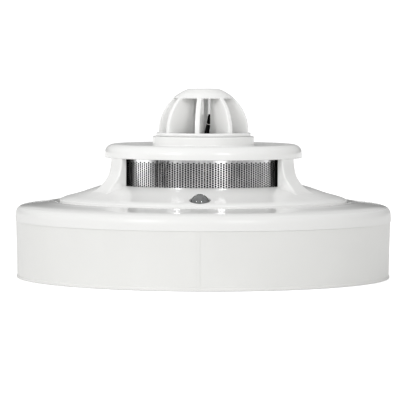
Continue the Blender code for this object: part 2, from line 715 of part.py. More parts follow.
def make_cover(cover):
    """Ramp and lip below, rimmed plate and collar above, and three struts between."""
    ramp = [(SILL_R, SILL_Z), *RAMP_POINTS, (LIP_R, LIP_Z[1]), (LIP_R, LIP_Z[0]),
            (SPIGOT_R[1], LIP_Z[0]), (SPIGOT_R[1], SPIGOT_BOTTOM),
            (SPIGOT_R[0], SPIGOT_BOTTOM), (SPIGOT_R[0], LIP_Z[0]), (28.0, 22.3),
            (SILL_R, 23.0)]
    piece = add_turned("upper_cover", ramp, "white_plastic", cover, closed=True)
    apply_boolean(piece, merged([strut_mesh(angle) for angle in STRUT_ANGLES]), "UNION")
    apply_boolean(piece, plate_tool(), "UNION")
    lamp = polar(LED_AXIS_R, FRONT)
    apply_boolean(piece, rod_mesh(LED_R + GAP, SPIGOT_BOTTOM - 1.0, LED_TOP + 3.0, lamp, 20),
                  "DIFFERENCE")
    notch_top = LIP_Z[0] - 0.01
    notch = box_mesh((*SPIGOT_NOTCH, notch_top - SPIGOT_BOTTOM + 1.0),
                     (SPIGOT_R[0], 0.0, (notch_top + SPIGOT_BOTTOM - 1.0) / 2), turn_to(FRONT))
    apply_boolean(piece, notch, "DIFFERENCE")


def plate_tool():
    """The turned top of the cover, from the collar's bore out to the rounded rim."""
    crest_r = PLATE_R - CREST_ROUND
    profile = [(COLLAR_BORE_R, COLLAR_TOP), (COLLAR_R - COLLAR_EDGE, COLLAR_TOP),
               (COLLAR_R, COLLAR_TOP - COLLAR_EDGE), (COLLAR_R, DISH_Z),
               (COLLAR_R + 4.5, DISH_Z + 0.2)]
    profile += arc((crest_r, CREST_Z - CREST_ROUND), CREST_ROUND, 90.0, 0.0, 4)
    profile += [(PLATE_R, PLATE_BOTTOM + PLATE_EDGE), (PLATE_R - PLATE_EDGE, PLATE_BOTTOM),
                (PLATE_INNER_R, PLATE_BOTTOM), (PLATE_INNER_R, PLATE_INNER_Z),
                (COLLAR_BORE_R, PLATE_INNER_Z)]
    return taken_mesh(add_turned("plate_profile", profile, "white_plastic", None, closed=True))


def strut_mesh(angle):
    """A post with a straight inner face and a concave outer one, flared at its foot."""
    embed = 0.6
    outline = [(STRUT_INNER_R, PLATE_BOTTOM + embed), (STRUT_FLARE[0][0], PLATE_BOTTOM + embed)]
    outline += STRUT_FLARE
    outline += [STRUT_FOOT, (STRUT_INNER_R, SILL_Z - 1.0)]
    half = STRUT_WIDTH / 2
    return plate_mesh([outline], -half, half, turn_to(angle) @ UPRIGHT)


def make_cage(cover):
    """The open dome over the thermistor: ring, radial fins and a flat-topped cap."""
    bottom, top = CAGE_FLANGE_Z
    ring = [(CAGE_RING_R[0], top), (CAGE_FLANGE_R, top), (CAGE_FLANGE_R, bottom),
            (CAGE_RING_R[1], bottom), (CAGE_RING_R[1], CAGE_RING_BOTTOM),
            (CAGE_RING_R[0], CAGE_RING_BOTTOM)]
    cage = add_turned("thermistor_cage", ring, "white_plastic", cover, FINE_STEPS, closed=True)
    fins = []
    for number in range(FIN_COUNT):
        fins.append(fin_mesh(FRONT + FIN_CLOCKING + 360.0 * number / FIN_COUNT))
    apply_boolean(cage, merged(fins), "UNION")
    apply_boolean(cage, cap_mesh(), "UNION")


def sphere_angle(z):
    """Elevation at which the cage's sphere reaches a height, in degrees."""
    return math.degrees(math.asin((z - CAGE_SPHERE_Z) / CAGE_SPHERE_R))


def fin_mesh(angle):
    embed = CAGE_FLANGE_Z[1] - 0.4
    outer = arc((0.0, CAGE_SPHERE_Z), CAGE_SPHERE_R - 0.02,
                sphere_angle(embed), sphere_angle(CAGE_CAP_Z + 0.6), 8)
    outline = outer + [(FIN_INNER_R, CAGE_CAP_Z + 0.6), (FIN_INNER_R, embed)]
    return plate_mesh([outline], -FIN_T / 2, FIN_T / 2, turn_to(angle) @ UPRIGHT)


def cap_mesh():
    """The part of the sphere above the fins, as a turned solid."""
    profile = [(0.0, TOTAL_H)]
    profile += arc((0.0, CAGE_SPHERE_Z), CAGE_SPHERE_R, sphere_angle(TOTAL_H),
                   sphere_angle(CAGE_CAP_Z), 5)
    profile.append((0.0, CAGE_CAP_Z))
    return taken_mesh(add_turned("cap_profile", profile, "white_plastic", None, steps=32))


clear_scene()
PARTS = new_collection("smoke_heat_detector")
CUTTERS = new_collection("cutters")

BASE = new_empty("base_axis")
HEAD = new_empty("head_twist_axis", BASE)
COVER = new_empty("cover_pull_axis", HEAD)

make_base(BASE)
make_terminals(BASE)
make_housing(HEAD)
make_contacts(HEAD)
make_board(HEAD)
make_components(HEAD)
make_chamber(HEAD)
make_chamber_lid(HEAD)
make_screen(HEAD)
make_optics(HEAD)
make_thermistor(HEAD)
make_cover(COVER)
make_cage(COVER)
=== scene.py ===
import json
import math

import bmesh
import bpy
from mathutils import Matrix, Vector


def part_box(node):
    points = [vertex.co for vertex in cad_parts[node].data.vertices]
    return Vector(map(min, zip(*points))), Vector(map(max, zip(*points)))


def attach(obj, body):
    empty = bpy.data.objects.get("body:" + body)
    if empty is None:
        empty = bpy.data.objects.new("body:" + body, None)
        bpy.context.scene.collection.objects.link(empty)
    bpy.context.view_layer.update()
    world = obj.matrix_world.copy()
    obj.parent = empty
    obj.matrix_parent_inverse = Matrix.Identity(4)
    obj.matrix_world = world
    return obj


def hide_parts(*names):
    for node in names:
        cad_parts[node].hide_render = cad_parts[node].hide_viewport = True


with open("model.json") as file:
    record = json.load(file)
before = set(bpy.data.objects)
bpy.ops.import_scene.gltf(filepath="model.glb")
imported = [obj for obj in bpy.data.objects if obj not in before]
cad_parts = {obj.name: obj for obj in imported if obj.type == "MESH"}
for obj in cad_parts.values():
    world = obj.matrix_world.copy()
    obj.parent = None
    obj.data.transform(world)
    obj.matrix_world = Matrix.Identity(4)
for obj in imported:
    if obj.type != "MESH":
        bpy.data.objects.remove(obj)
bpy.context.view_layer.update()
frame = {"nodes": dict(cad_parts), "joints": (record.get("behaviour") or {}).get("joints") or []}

# The object's lengths are in millimetres, worked out from the frame where it holds them,
# and are turned into metres where meshes are made. The front is towards -Y.
MM = 0.001
ROUND = 192               # facets of the large turned parts
FINE = 96                 # facets of the cage and the chamber
SMALL = 32                # facets of holes, bosses and the lamp
FRONT = 270.0             # direction of the front, degrees from +X


def span(node):
    """Outermost radius, lowest and highest Z of a CAD node, in millimetres."""
    low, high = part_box(node)
    return max(high.x, -low.x, high.y, -low.y) / MM, low.z / MM, high.z / MM


def middle(node):
    """Centre of a CAD node's box, in millimetres."""
    low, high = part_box(node)
    return (low + high) / 2 / MM


OUTER_R, SKIRT_BOTTOM, DECK_TOP = span("head_housing")
_, FOOT_Z, BASE_TOP = span("mounting_base")
LIP_R, SPIGOT_BOTTOM, COLLAR_TOP = span("upper_cover")
FLANGE_R, CAGE_BOTTOM, CAGE_TOP = span("thermistor_cage")
LID_R, PILLAR_BOTTOM, LID_TOP = span("chamber_lid")
SCREEN_R, SCREEN_LOW, SCREEN_HIGH = span("insect_screen")
_, BOARD_LOW, BOARD_TOP = span("circuit_board")
LAMP = middle("status_led")
LAMP_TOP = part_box("status_led")[1].z / MM
TWIST = frame["joints"][0]["range_deg"][1]

SEAM_Z = BASE_TOP + 0.15             # parting line between base and head
SEAM_HALF = 0.006                    # half of the fine joint that shows there
STRUTS = (90.0, 210.0, 330.0)
TERMINALS = (45.0, 135.0, 225.0, 315.0)
BAYONETS = (30.0, 150.0, 270.0)
BOARD_SCREWS = (90.0, 210.0, 330.0)
BOARD_SCREW_AT = 31.0                # radius of the screws' circle
RIVET_AT = 20.0                      # radius of the contact rivets' circle


# ---------------------------------------------------------------- mesh tools

def polar(radius, degrees):
    angle = math.radians(degrees)
    return radius * math.cos(angle), radius * math.sin(angle)


def turn_to(degrees):
    """Rotation about Z that carries +X to the given direction."""
    return Matrix.Rotation(math.radians(degrees), 4, "Z")


UPRIGHT = Matrix.Rotation(math.radians(90.0), 4, "X")     # an outline's Y becomes Z


def arc(centre, radius, start, end, steps):
    """Points of an arc, both ends included; angles in degrees."""
    points = []
    for step in range(steps + 1):
        x, y = polar(radius, start + (end - start) * step / steps)
        points.append((centre[0] + x, centre[1] + y))
    return points


def rounded(corners, steps=5):
    """A closed outline from (x, y, fillet radius) corners, each fillet as an arc."""
    points = []
    count = len(corners)
    for index, (x, y, radius) in enumerate(corners):
        here = Vector((x, y))
        before = Vector(corners[index - 1][:2]) - here
        after = Vector(corners[(index + 1) % count][:2]) - here
        if radius <= 0.0:
            points.append((x, y))
            continue
        half = before.angle(after) / 2
        back_off = radius / math.tan(half)
        start = here + before.normalized() * back_off
        end = here + after.normalized() * back_off
        centre = here + (before.normalized() + after.normalized()).normalized() * (
            radius / math.sin(half))
        sweep_from, sweep_to = start - centre, end - centre
        turn = sweep_from.angle_signed(sweep_to)
        for step in range(steps + 1):
            offset = sweep_from.copy()
            offset.rotate(Matrix.Rotation(-turn * step / steps, 2))
            points.append(tuple(centre + offset))
    return points


def smooth_curve(knots, steps=8):
    """Points of a Catmull-Rom curve through the knots."""
    ends = [knots[0], *knots, knots[-1]]
    points = []
    for a, b, c, d in zip(ends, ends[1:], ends[2:], ends[3:]):
        for step in range(steps):
            t = step / steps
            points.append(tuple(
                0.5 * (2 * q + (r - p) * t + (2 * p - 5 * q + 4 * r - s) * t * t
                       + (3 * q - p - 3 * r + s) * t ** 3)
                for p, q, r, s in zip(a, b, c, d)))
    points.append(knots[-1])
    return points


def lathe(profile, steps=ROUND, centre=(0.0, 0.0)):
    """A closed outline turned about Z. Points at radius 0 become poles."""
    bm = bmesh.new()
    rings = []
    for radius, z in profile:
        if radius < 1e-6:
            rings.append([bm.verts.new((centre[0] * MM, centre[1] * MM, z * MM))])
            continue
        ring = []
        for step in range(steps):
            x, y = polar(radius, 360.0 * step / steps)
            ring.append(bm.verts.new(((centre[0] + x) * MM, (centre[1] + y) * MM, z * MM)))
        rings.append(ring)
    for upper, lower in zip(rings, rings[1:] + rings[:1]):
        if len(upper) == 1 and len(lower) == 1:
            continue
        for step in range(steps):
            following = (step + 1) % steps
            corners = [upper[step % len(upper)], lower[step % len(lower)],
                       lower[following % len(lower)], upper[following % len(upper)]]
            bm.faces.new(list(dict.fromkeys(corners)))
    return to_mesh(bm)


def prism(outline, low, high, matrix=Matrix.Identity(4)):
    """A flat outline thickened from low to high."""
    bm = bmesh.new()
    verts = [bm.verts.new((x * MM, y * MM, low * MM)) for x, y in outline]
    face = bm.faces.new(verts)
    lifted = bmesh.ops.extrude_face_region(bm, geom=[face])["geom"]
    top = [item for item in lifted if isinstance(item, bmesh.types.BMVert)]
    bmesh.ops.translate(bm, verts=top, vec=(0.0, 0.0, (high - low) * MM))
    bm.transform(matrix)
    return to_mesh(bm)


def block(size, centre, matrix=Matrix.Identity(4)):
    bm = bmesh.new()
    scale = Matrix.Diagonal((*(side * MM for side in size), 1.0))
    place = Matrix.Translation([value * MM for value in centre])
    bmesh.ops.create_cube(bm, size=1.0, matrix=matrix @ place @ scale)
    return to_mesh(bm)


def post(radius, low, high, centre=(0.0, 0.0), edge=0.0, steps=SMALL):
    """An upright round post, its top edge rounded."""
    profile = rounded([(0.0, high, 0.0), (radius, high, edge), (radius, low, 0.0),
                       (0.0, low, 0.0)], 3)
    return lathe(profile, steps, centre)


def sector(r_in, r_out, start, end, low, high, steps=10):
    outline = arc((0.0, 0.0), r_out, start, end, steps)
    outline += arc((0.0, 0.0), r_in, end, start, steps)
    return prism(outline, low, high)


def to_mesh(bm):
    bmesh.ops.remove_doubles(bm, verts=bm.verts, dist=0.0005 * MM)
    bmesh.ops.recalc_face_normals(bm, faces=bm.faces)
    mesh = bpy.data.meshes.new("shape")
    bm.to_mesh(mesh)
    bm.free()
    return mesh


def together(*meshes):
    """Several meshes as one."""
    bm = bmesh.new()
    for mesh in meshes:
        bm.from_mesh(mesh)
        bpy.data.meshes.remove(mesh)
    mesh = bpy.data.meshes.new("shape")
    bm.to_mesh(mesh)
    bm.free()
    return mesh


def new_object(name, mesh):
    piece = bpy.data.objects.new(name, mesh)
    mesh.name = name
    bpy.context.scene.collection.objects.link(piece)
    return piece


def evaluated_mesh(piece):
    """The piece's mesh with its modifiers applied; the modifiers are removed."""
    bpy.context.view_layer.update()
    depsgraph = bpy.context.evaluated_depsgraph_get()
    mesh = bpy.data.meshes.new_from_object(piece.evaluated_get(depsgraph))
    old = piece.data
    piece.modifiers.clear()
    piece.data = mesh
    bpy.data.meshes.remove(old)
    mesh.name = piece.name
    return mesh


def boolean(piece, tool_mesh, operation):
    """Join a mesh to the piece or cut it from the piece, for good."""
    tool = new_object("tool", tool_mesh)
    modifier = piece.modifiers.new(operation.lower(), "BOOLEAN")
    modifier.operation = operation
    modifier.solver = "EXACT"
    modifier.object = tool
    evaluated_mesh(piece)
    bpy.data.objects.remove(tool)
    bpy.data.meshes.remove(tool_mesh)


def bevel(piece, width, segments=2, angle=30.0):
    """Round the piece's edges that are sharper than the angle."""
    modifier = piece.modifiers.new("edges", "BEVEL")
    modifier.width = width * MM
    modifier.segments = segments
    modifier.limit_method = "ANGLE"
    modifier.angle_limit = math.radians(angle)
    modifier.use_clamp_overlap = True
    modifier.harden_normals = False
    return piece


def shade(piece, angle=38.0):
    """Smooth shading that keeps real edges, weighted so that flat faces stay flat."""
    piece.data.shade_smooth()
    piece.data.set_sharp_from_angle(angle=math.radians(angle))
    modifier = piece.modifiers.new("normals", "WEIGHTED_NORMAL")
    modifier.keep_sharp = True
    modifier.weight = 60
    return piece


def place(piece, body, material, slot_name, *nodes):
    """Give a finished piece its material, its body and the CAD nodes it stands for."""
    piece.data.materials.clear()
    piece.data.materials.append(material)
    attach(piece, body)
    if nodes:
        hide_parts(*nodes)
    return piece


# ---------------------------------------------------------------- materials

def new_material(name):
    material = bpy.data.materials.new(name)
    material.use_nodes = True
    tree = material.node_tree
    shader = tree.nodes["Principled BSDF"]
    position = tree.nodes.new("ShaderNodeTexCoord")
    return material, tree, shader, position.outputs["Object"]


def noise(tree, vector, scale, detail=3.0, stretch=None):
    """Noise with features about one over scale metres across."""
    if stretch:
        mapping = tree.nodes.new("ShaderNodeMapping")
        mapping.inputs["Scale"].default_value = stretch
        tree.links.new(vector, mapping.inputs["Vector"])
        vector = mapping.outputs["Vector"]
    node = tree.nodes.new("ShaderNodeTexNoise")
    node.inputs["Scale"].default_value = scale
    node.inputs["Detail"].default_value = detail
    tree.links.new(vector, node.inputs["Vector"])
    return node.outputs["Fac"]


def map_range(tree, value, start, end, low, high, course="LINEAR"):
    """A value that goes from low to high while another one goes from start to end."""
    node = tree.nodes.new("ShaderNodeMapRange")
    node.interpolation_type = course
    settings = {"From Min": start, "From Max": end, "To Min": low, "To Max": high}
    for name, setting in settings.items():
        node.inputs[name].default_value = setting
    tree.links.new(value, node.inputs["Value"])
    return node.outputs["Result"]


def between(tree, factor, low, high):
    """A value that follows a noise factor, from low to high."""
    return map_range(tree, factor, 0.3, 0.7, low, high)


def arithmetic(tree, operation, first, second):
    """A Math node's result; each operand is a number or another node's output."""
    node = tree.nodes.new("ShaderNodeMath")
    node.operation = operation
    for socket, value in zip(node.inputs, (first, second)):
        if isinstance(value, float):
            socket.default_value = value
        else:
            tree.links.new(value, socket)
    return node.outputs[0]


def blend_colours(tree, factor, first, second):
    node = tree.nodes.new("ShaderNodeMix")
    node.data_type = "RGBA"
    node.inputs["A"].default_value = (*first, 1.0)
    node.inputs["B"].default_value = (*second, 1.0)
    tree.links.new(between(tree, factor, 0.0, 1.0), node.inputs["Factor"])
    return node.outputs["Result"]


def bump(tree, shader, height, distance, strength=1.0, under=None):
    """Relief of the given depth, in millimetres."""
    node = tree.nodes.new("ShaderNodeBump")
    node.inputs["Strength"].default_value = strength
    node.inputs["Distance"].default_value = distance * MM
    tree.links.new(height, node.inputs["Height"])
    if under:
        tree.links.new(under, node.inputs["Normal"])
    tree.links.new(node.outputs["Normal"], shader.inputs["Normal"])
    return node.outputs["Normal"]


def finish_by_height(tree, where, start, end, satin, polish):
    """A roughness that is satin below one height and polished above another."""
    axes = tree.nodes.new("ShaderNodeSeparateXYZ")
    tree.links.new(where, axes.inputs[0])
    return map_range(tree, axes.outputs["Z"], start * MM, end * MM, satin, polish)


def moulded_plastic(name, colour, shade_colour, roughness, grain, flow=0.004):
    """Injection-moulded plastic: faint flow mottling, mould grain and slow waviness.

    The roughness is one value, which varies a little in patches, or the four values of
    a finish that changes with height.
    """
    material, tree, shader, where = new_material(name)
    mottle = noise(tree, where, 55.0, 4.0)
    tree.links.new(blend_colours(tree, mottle, colour, shade_colour), shader.inputs["Base Color"])
    if isinstance(roughness, tuple):
        finish = finish_by_height(tree, where, *roughness)
    else:
        patches = noise(tree, where, 260.0, 3.0)
        finish = between(tree, patches, 0.9 * roughness, 1.12 * roughness)
    tree.links.new(finish, shader.inputs["Roughness"])
    wave = bump(tree, shader, noise(tree, where, 120.0, 1.0), flow)
    bump(tree, shader, noise(tree, where, 4200.0, 2.0), grain, under=wave)
    shader.inputs["IOR"].default_value = 1.52
    return material


def translucent(material, share, reach):
    """Let light through a plastic's thin walls, over a reach in millimetres."""
    shader = material.node_tree.nodes["Principled BSDF"]
    shader.inputs["Subsurface Weight"].default_value = share
    shader.inputs["Subsurface Radius"].default_value = (1.0, 1.0, 1.0)
    shader.inputs["Subsurface Scale"].default_value = reach * MM


def dull(material, specular):
    """Weaken a material's mirror-like reflection."""
    shader = material.node_tree.nodes["Principled BSDF"]
    shader.inputs["Specular IOR Level"].default_value = specular


def metal(name, colour, tarnish, roughness, lines, stretch, dents=0.0):
    """Rolled or plated metal, with fine lines along one direction and any slow dents."""
    material, tree, shader, where = new_material(name)
    patches = noise(tree, where, 300.0, 4.0)
    tree.links.new(blend_colours(tree, patches, colour, tarnish), shader.inputs["Base Color"])
    grain = noise(tree, where, 1600.0, 3.0, stretch)
    tree.links.new(between(tree, grain, roughness - 0.06, roughness + 0.08),
                   shader.inputs["Roughness"])
    under = None
    if dents:
        slow = noise(tree, where, 420.0, 1.0, (1.0, 1.0, 0.12))
        under = bump(tree, shader, slow, dents)
    bump(tree, shader, grain, lines, under=under)
    shader.inputs["Metallic"].default_value = 1.0
    return material


def clear_epoxy(name, tint):
    """Cast epoxy: clear, with faint cloudiness and a slightly uneven skin."""
    material, tree, shader, where = new_material(name)
    cloud = noise(tree, where, 600.0, 3.0)
    pale = tuple(min(1.0, value * 1.08) for value in tint)
    tree.links.new(blend_colours(tree, cloud, tint, pale), shader.inputs["Base Color"])
    tree.links.new(between(tree, cloud, 0.03, 0.07), shader.inputs["Roughness"])
    bump(tree, shader, noise(tree, where, 500.0, 1.0), 0.004)
    shader.inputs["Transmission Weight"].default_value = 1.0
    shader.inputs["IOR"].default_value = 1.50
    return material


def laminate(name):
    """Solder-masked board: green lacquer over a woven glass cloth and copper tracks."""
    material, tree, shader, where = new_material(name)
    brick = tree.nodes.new("ShaderNodeTexBrick")
    brick.inputs["Scale"].default_value = 420.0
    brick.inputs["Mortar Size"].default_value = 0.012
    brick.inputs["Color1"].default_value = (0.012, 0.115, 0.040, 1.0)
    brick.inputs["Color2"].default_value = (0.016, 0.150, 0.052, 1.0)
    brick.inputs["Mortar"].default_value = (0.030, 0.230, 0.085, 1.0)
    tree.links.new(where, brick.inputs["Vector"])
    tree.links.new(brick.outputs["Color"], shader.inputs["Base Color"])
    tree.links.new(between(tree, noise(tree, where, 200.0), 0.22, 0.34),
                   shader.inputs["Roughness"])
    bump(tree, shader, brick.outputs["Fac"], 0.02)
    return material


def soft_rubber(name, colour, dust):
    material, tree, shader, where = new_material(name)
    tree.links.new(blend_colours(tree, noise(tree, where, 900.0, 4.0), colour, dust),
                   shader.inputs["Base Color"])
    tree.links.new(between(tree, noise(tree, where, 500.0), 0.42, 0.60),
                   shader.inputs["Roughness"])
    bump(tree, shader, noise(tree, where, 2500.0, 3.0), 0.02)
    return material


HOUSING_FINISH = (18.5, 19.1, 0.36, 0.11)   # heights of the change, satin, polish
# The four whites below stand for one white ABS. Their roughness differs as the finishes do, but
# their colours are set part by part for brightness: the base's and the housing's darker colours
# are painted shade, and the cage's lighter colour is painted light, compared with the cover's.
WHITE_GLOSS = moulded_plastic("white_gloss_abs", (0.81, 0.81, 0.80), (0.79, 0.79, 0.78),
                              0.225, 0.0012)
# Lighter colour than the cover's: painted light on the cage.
WHITE_THIN_LIT = moulded_plastic("white_thin_walled_abs", (0.83, 0.83, 0.82), (0.81, 0.81, 0.80),
                             0.225, 0.0012)
translucent(WHITE_THIN_LIT, 0.7, 1.6)
# Darker colour than the cover's: painted shade on the housing.
WHITE_POLISHED_SHADED = moulded_plastic("white_polished_abs", (0.75, 0.75, 0.74),
                                 (0.735, 0.735, 0.725), HOUSING_FINISH, 0.0001, 0.0015)
# Darker still: painted shade on the base.
WHITE_SATIN_SHADED = moulded_plastic("white_satin_abs", (0.72, 0.72, 0.705), (0.695, 0.695, 0.68),
                              0.34, 0.006)
BLACK_MATT = moulded_plastic("black_matt_abs", (0.005, 0.005, 0.005), (0.009, 0.009, 0.009),
                             0.55, 0.010)
BLACK_EPOXY = moulded_plastic("black_epoxy_body", (0.014, 0.014, 0.015), (0.020, 0.020, 0.022),
                              0.38, 0.006)
RELAY_CASE = moulded_plastic("relay_case_pbt", (0.80, 0.79, 0.74), (0.74, 0.73, 0.68),
                             0.36, 0.006)
SCREEN_STEEL = metal("perforated_steel", (0.75, 0.75, 0.75), (0.62, 0.62, 0.63),
                     0.12, 0.0006, (1.0, 1.0, 0.08), dents=0.05)
SPRING_STEEL = metal("nickel_spring_strip", (0.66, 0.63, 0.56), (0.55, 0.52, 0.46),
                     0.24, 0.003, (0.1, 1.0, 1.0))
PLATED_STEEL = metal("bright_plated_steel", (0.74, 0.73, 0.70), (0.64, 0.62, 0.58),
                     0.20, 0.002, (1.0, 1.0, 0.2))
TINNED_COPPER = metal("tinned_copper_wire", (0.78, 0.72, 0.64), (0.66, 0.56, 0.46),
                      0.24, 0.003, (1.0, 1.0, 0.3))
CAN_ALUMINIUM = metal("capacitor_can", (0.80, 0.80, 0.81), (0.70, 0.70, 0.72),
                      0.26, 0.002, (1.0, 1.0, 0.1))
CLEAR_EPOXY = clear_epoxy("clear_lamp_epoxy", (0.80, 0.82, 0.82))
LAMP_CORE = moulded_plastic("lamp_diffuser", (0.30, 0.30, 0.30), (0.26, 0.26, 0.26),
                            0.60, 0.004)
BEAD_EPOXY = moulded_plastic("matt_bead_epoxy", (0.002, 0.002, 0.002), (0.004, 0.004, 0.004),
                             0.85, 0.006)
dull(BEAD_EPOXY, 0.05)
REED_GLASS = clear_epoxy("green_reed_glass", (0.55, 0.72, 0.62))
BOARD = laminate("solder_masked_laminate")
SLEEVE_RUBBER = soft_rubber("heat_shrink_sleeve", (0.003, 0.003, 0.003), (0.008, 0.008, 0.008))
dull(SLEEVE_RUBBER, 0.06)


# ---------------------------------------------------------------- mounting base

WALL_IN = 47.6
WALL_TOP_R = 49.85
WALL_FOOT_R = 49.5
SEAM_STEP = (49.2, 49.35)            # radii of the wall's top edge, inside the parting line
FOOT_LIP = (49.7, 0.5, 0.72)         # radius, height, where the wall starts above it
GROOVES = ((45.2, 43.6), (13.2, 12.2))        # in the underside: outer, inner radius
GROOVE_TOP = 0.5
GROOVE_SLOPE = 0.2
BASE_FLOOR = 2.2
CABLE_ENTRY_R = 11.0
CABLE_COLLAR = (12.2, 3.4)           # radius, height
LEDGE = (44.5, 8.8, 10.8)            # inner radius, underside, top
LEDGE_HALF = 9.0                     # degrees
STOP_ARC = 3.0                       # degrees
BOSS_TOP = 4.6
BOSS_FOOT = 1.2                      # inside the floor
BOSS_SIDES = (9.0, 10.0)
TERMINAL_R = 35.0
TERMINAL_HOLE_R = 1.9
BOSS_RIB = (11.0, 0.9, 2.4)          # length, thickness, height
BOSS_RIB_AT = (40.5, 0.0, 2.6)
BOSS_RIB_TURN = 18.0                 # degrees to either side of the boss
CUT_TOP = 6.0                        # above all that the cuts in the floor go through
FIXING_SLOTS = (0.0, 90.0, 180.0, 270.0)
SLOT_ENDS = (27.8, 34.2)
SLOT_HALF = 2.3
SLOT_SINK = (1.6, 0.5)               # how much wider the sunk seat is, and its depth
RIB_ROOT_R = 48.8                    # the alignment mark, down the front of the wall
RIB_ENDS = (0.55, 0.15)              # how far it stops from the base's foot and top
RIB_RELIEF = 0.10
RIB_HALF = 0.45


def base_outline():
    foot_r, foot_top, wall_low = FOOT_LIP
    step_in, step_out = SEAM_STEP
    collar_r, collar_top = CABLE_COLLAR
    corners = [
        (WALL_IN, BASE_TOP, 0.3), (step_in, BASE_TOP, 0.0), (step_out, SEAM_Z - SEAM_HALF, 0.02),
        (WALL_TOP_R, SEAM_Z - SEAM_HALF, 0.03), (WALL_FOOT_R, wall_low, 0.3),
        (foot_r, foot_top, 0.12), (foot_r, FOOT_Z, 0.12)]
    for outer, inner in GROOVES:
        corners += [(outer, FOOT_Z, 0.1), (outer - GROOVE_SLOPE, GROOVE_TOP, 0.1),
                    (inner + GROOVE_SLOPE, GROOVE_TOP, 0.1), (inner, FOOT_Z, 0.1)]
    corners += [
        (CABLE_ENTRY_R, FOOT_Z, 0.3), (CABLE_ENTRY_R, collar_top, 0.3),
        (collar_r, collar_top, 0.3), (collar_r, BASE_FLOOR, 0.4), (WALL_IN, BASE_FLOOR, 0.8)]
    return rounded(corners)


def bayonet_parts():
    """Ledges that hold the head, each with the stop that ends its twist."""
    parts = []
    inner, low, high = LEDGE
    for centre in BAYONETS:
        stop = centre + TWIST + LEDGE_HALF
        parts.append(sector(inner, WALL_IN + 1.0, centre - LEDGE_HALF, centre + LEDGE_HALF,
                            low, high))
        parts.append(sector(inner, WALL_IN + 1.0, stop, stop + STOP_ARC,
                            BASE_FLOOR - 0.8, high, 3))
    return parts


def terminal_bosses():
    parts = []
    for angle in TERMINALS:
        parts.append(block((*BOSS_SIDES, BOSS_TOP - BOSS_FOOT),
                           (TERMINAL_R, 0.0, (BOSS_TOP + BOSS_FOOT) / 2), turn_to(angle)))
        for side in (-BOSS_RIB_TURN, BOSS_RIB_TURN):
            parts.append(block(BOSS_RIB, BOSS_RIB_AT, turn_to(angle + side)))
    return parts


def alignment_mark():
    low, high = FOOT_Z + RIB_ENDS[0], BASE_TOP - RIB_ENDS[1]
    return prism([(RIB_ROOT_R, low), (WALL_FOOT_R + RIB_RELIEF, low),
                  (WALL_TOP_R + RIB_RELIEF, high), (RIB_ROOT_R, high)],
                 -RIB_HALF, RIB_HALF, turn_to(FRONT) @ UPRIGHT)


def build_base():
    base = new_object("base_shell", lathe(base_outline()))
    added = together(*bayonet_parts(), *terminal_bosses(), alignment_mark())
    boolean(base, added, "UNION")
    wider, depth = SLOT_SINK
    for angle in FIXING_SLOTS:
        slot = prism(slot_outline(SLOT_HALF), -1.0, CUT_TOP, turn_to(angle))
        boolean(base, slot, "DIFFERENCE")
        sink = prism(slot_outline(SLOT_HALF + wider), BASE_FLOOR - depth, CUT_TOP,
                     turn_to(angle))
        boolean(base, sink, "DIFFERENCE")
    holes = [post(TERMINAL_HOLE_R, BASE_FLOOR + 0.4, CUT_TOP, polar(TERMINAL_R, angle))
             for angle in TERMINALS]
    boolean(base, together(*holes), "DIFFERENCE")
    place(shade(base), "base", WHITE_SATIN_SHADED, "white_abs", "mounting_base")


def slot_outline(half):
    outline = arc((SLOT_ENDS[1], 0.0), half, -90.0, 90.0, 16)
    return outline + arc((SLOT_ENDS[0], 0.0), half, 90.0, 270.0, 16)


# ---------------------------------------------------------------- head housing

# Curves are lists of (radius, height), from the top down or from the axis outwards
DECK = [(40.0, 20.17), (42.5, 19.90), (44.8, 19.66), (46.4, 19.48), (47.2, 19.36),
        (48.0, 19.18), (48.8, 18.87), (49.4, 18.40), (49.8, 17.70), (49.97, 16.9)]
UNDER_DECK = 16.98
SHOULDER_WALL = 2.2
WELL_R = 37.1
WELL_WALL = 1.8
HEAD_FLOOR = (9.6, 11.0)             # underside, top
SKIRT = (42.3, 44.1)                 # inner, outer radius
LUG = (46.9, 6.5, 8.5)               # bayonet lug: outer radius, underside, top
LUG_HALF = 8.0                       # degrees
BOARD_PILLAR_R = 3.0
BOARD_SCREW_HOLE_R = 1.3
RIVET_HOLE_R = 1.5


def housing_outline():
    inside, well_out = OUTER_R - SHOULDER_WALL, WELL_R + WELL_WALL
    deck = smooth_curve([(WELL_R + 0.6, DECK_TOP), *DECK, (OUTER_R, 16.0)], 4)
    return rounded([
        (0.0, HEAD_FLOOR[1], 0.0), (WELL_R, HEAD_FLOOR[1], 0.6), (WELL_R, DECK_TOP, 0.25),
        *((r, z, 0.0) for r, z in deck),
        (OUTER_R, SEAM_Z + SEAM_HALF, 0.03), (inside, SEAM_Z + SEAM_HALF, 0.2),
        (inside, UNDER_DECK, 0.8), (SKIRT[1], UNDER_DECK, 0.5),
        (SKIRT[1], SKIRT_BOTTOM, 0.3), (SKIRT[0], SKIRT_BOTTOM, 0.3),
        (SKIRT[0], UNDER_DECK, 0.5), (well_out, UNDER_DECK, 0.5),
        (well_out, HEAD_FLOOR[0], 0.4), (0.0, HEAD_FLOOR[0], 0.0)], 8)


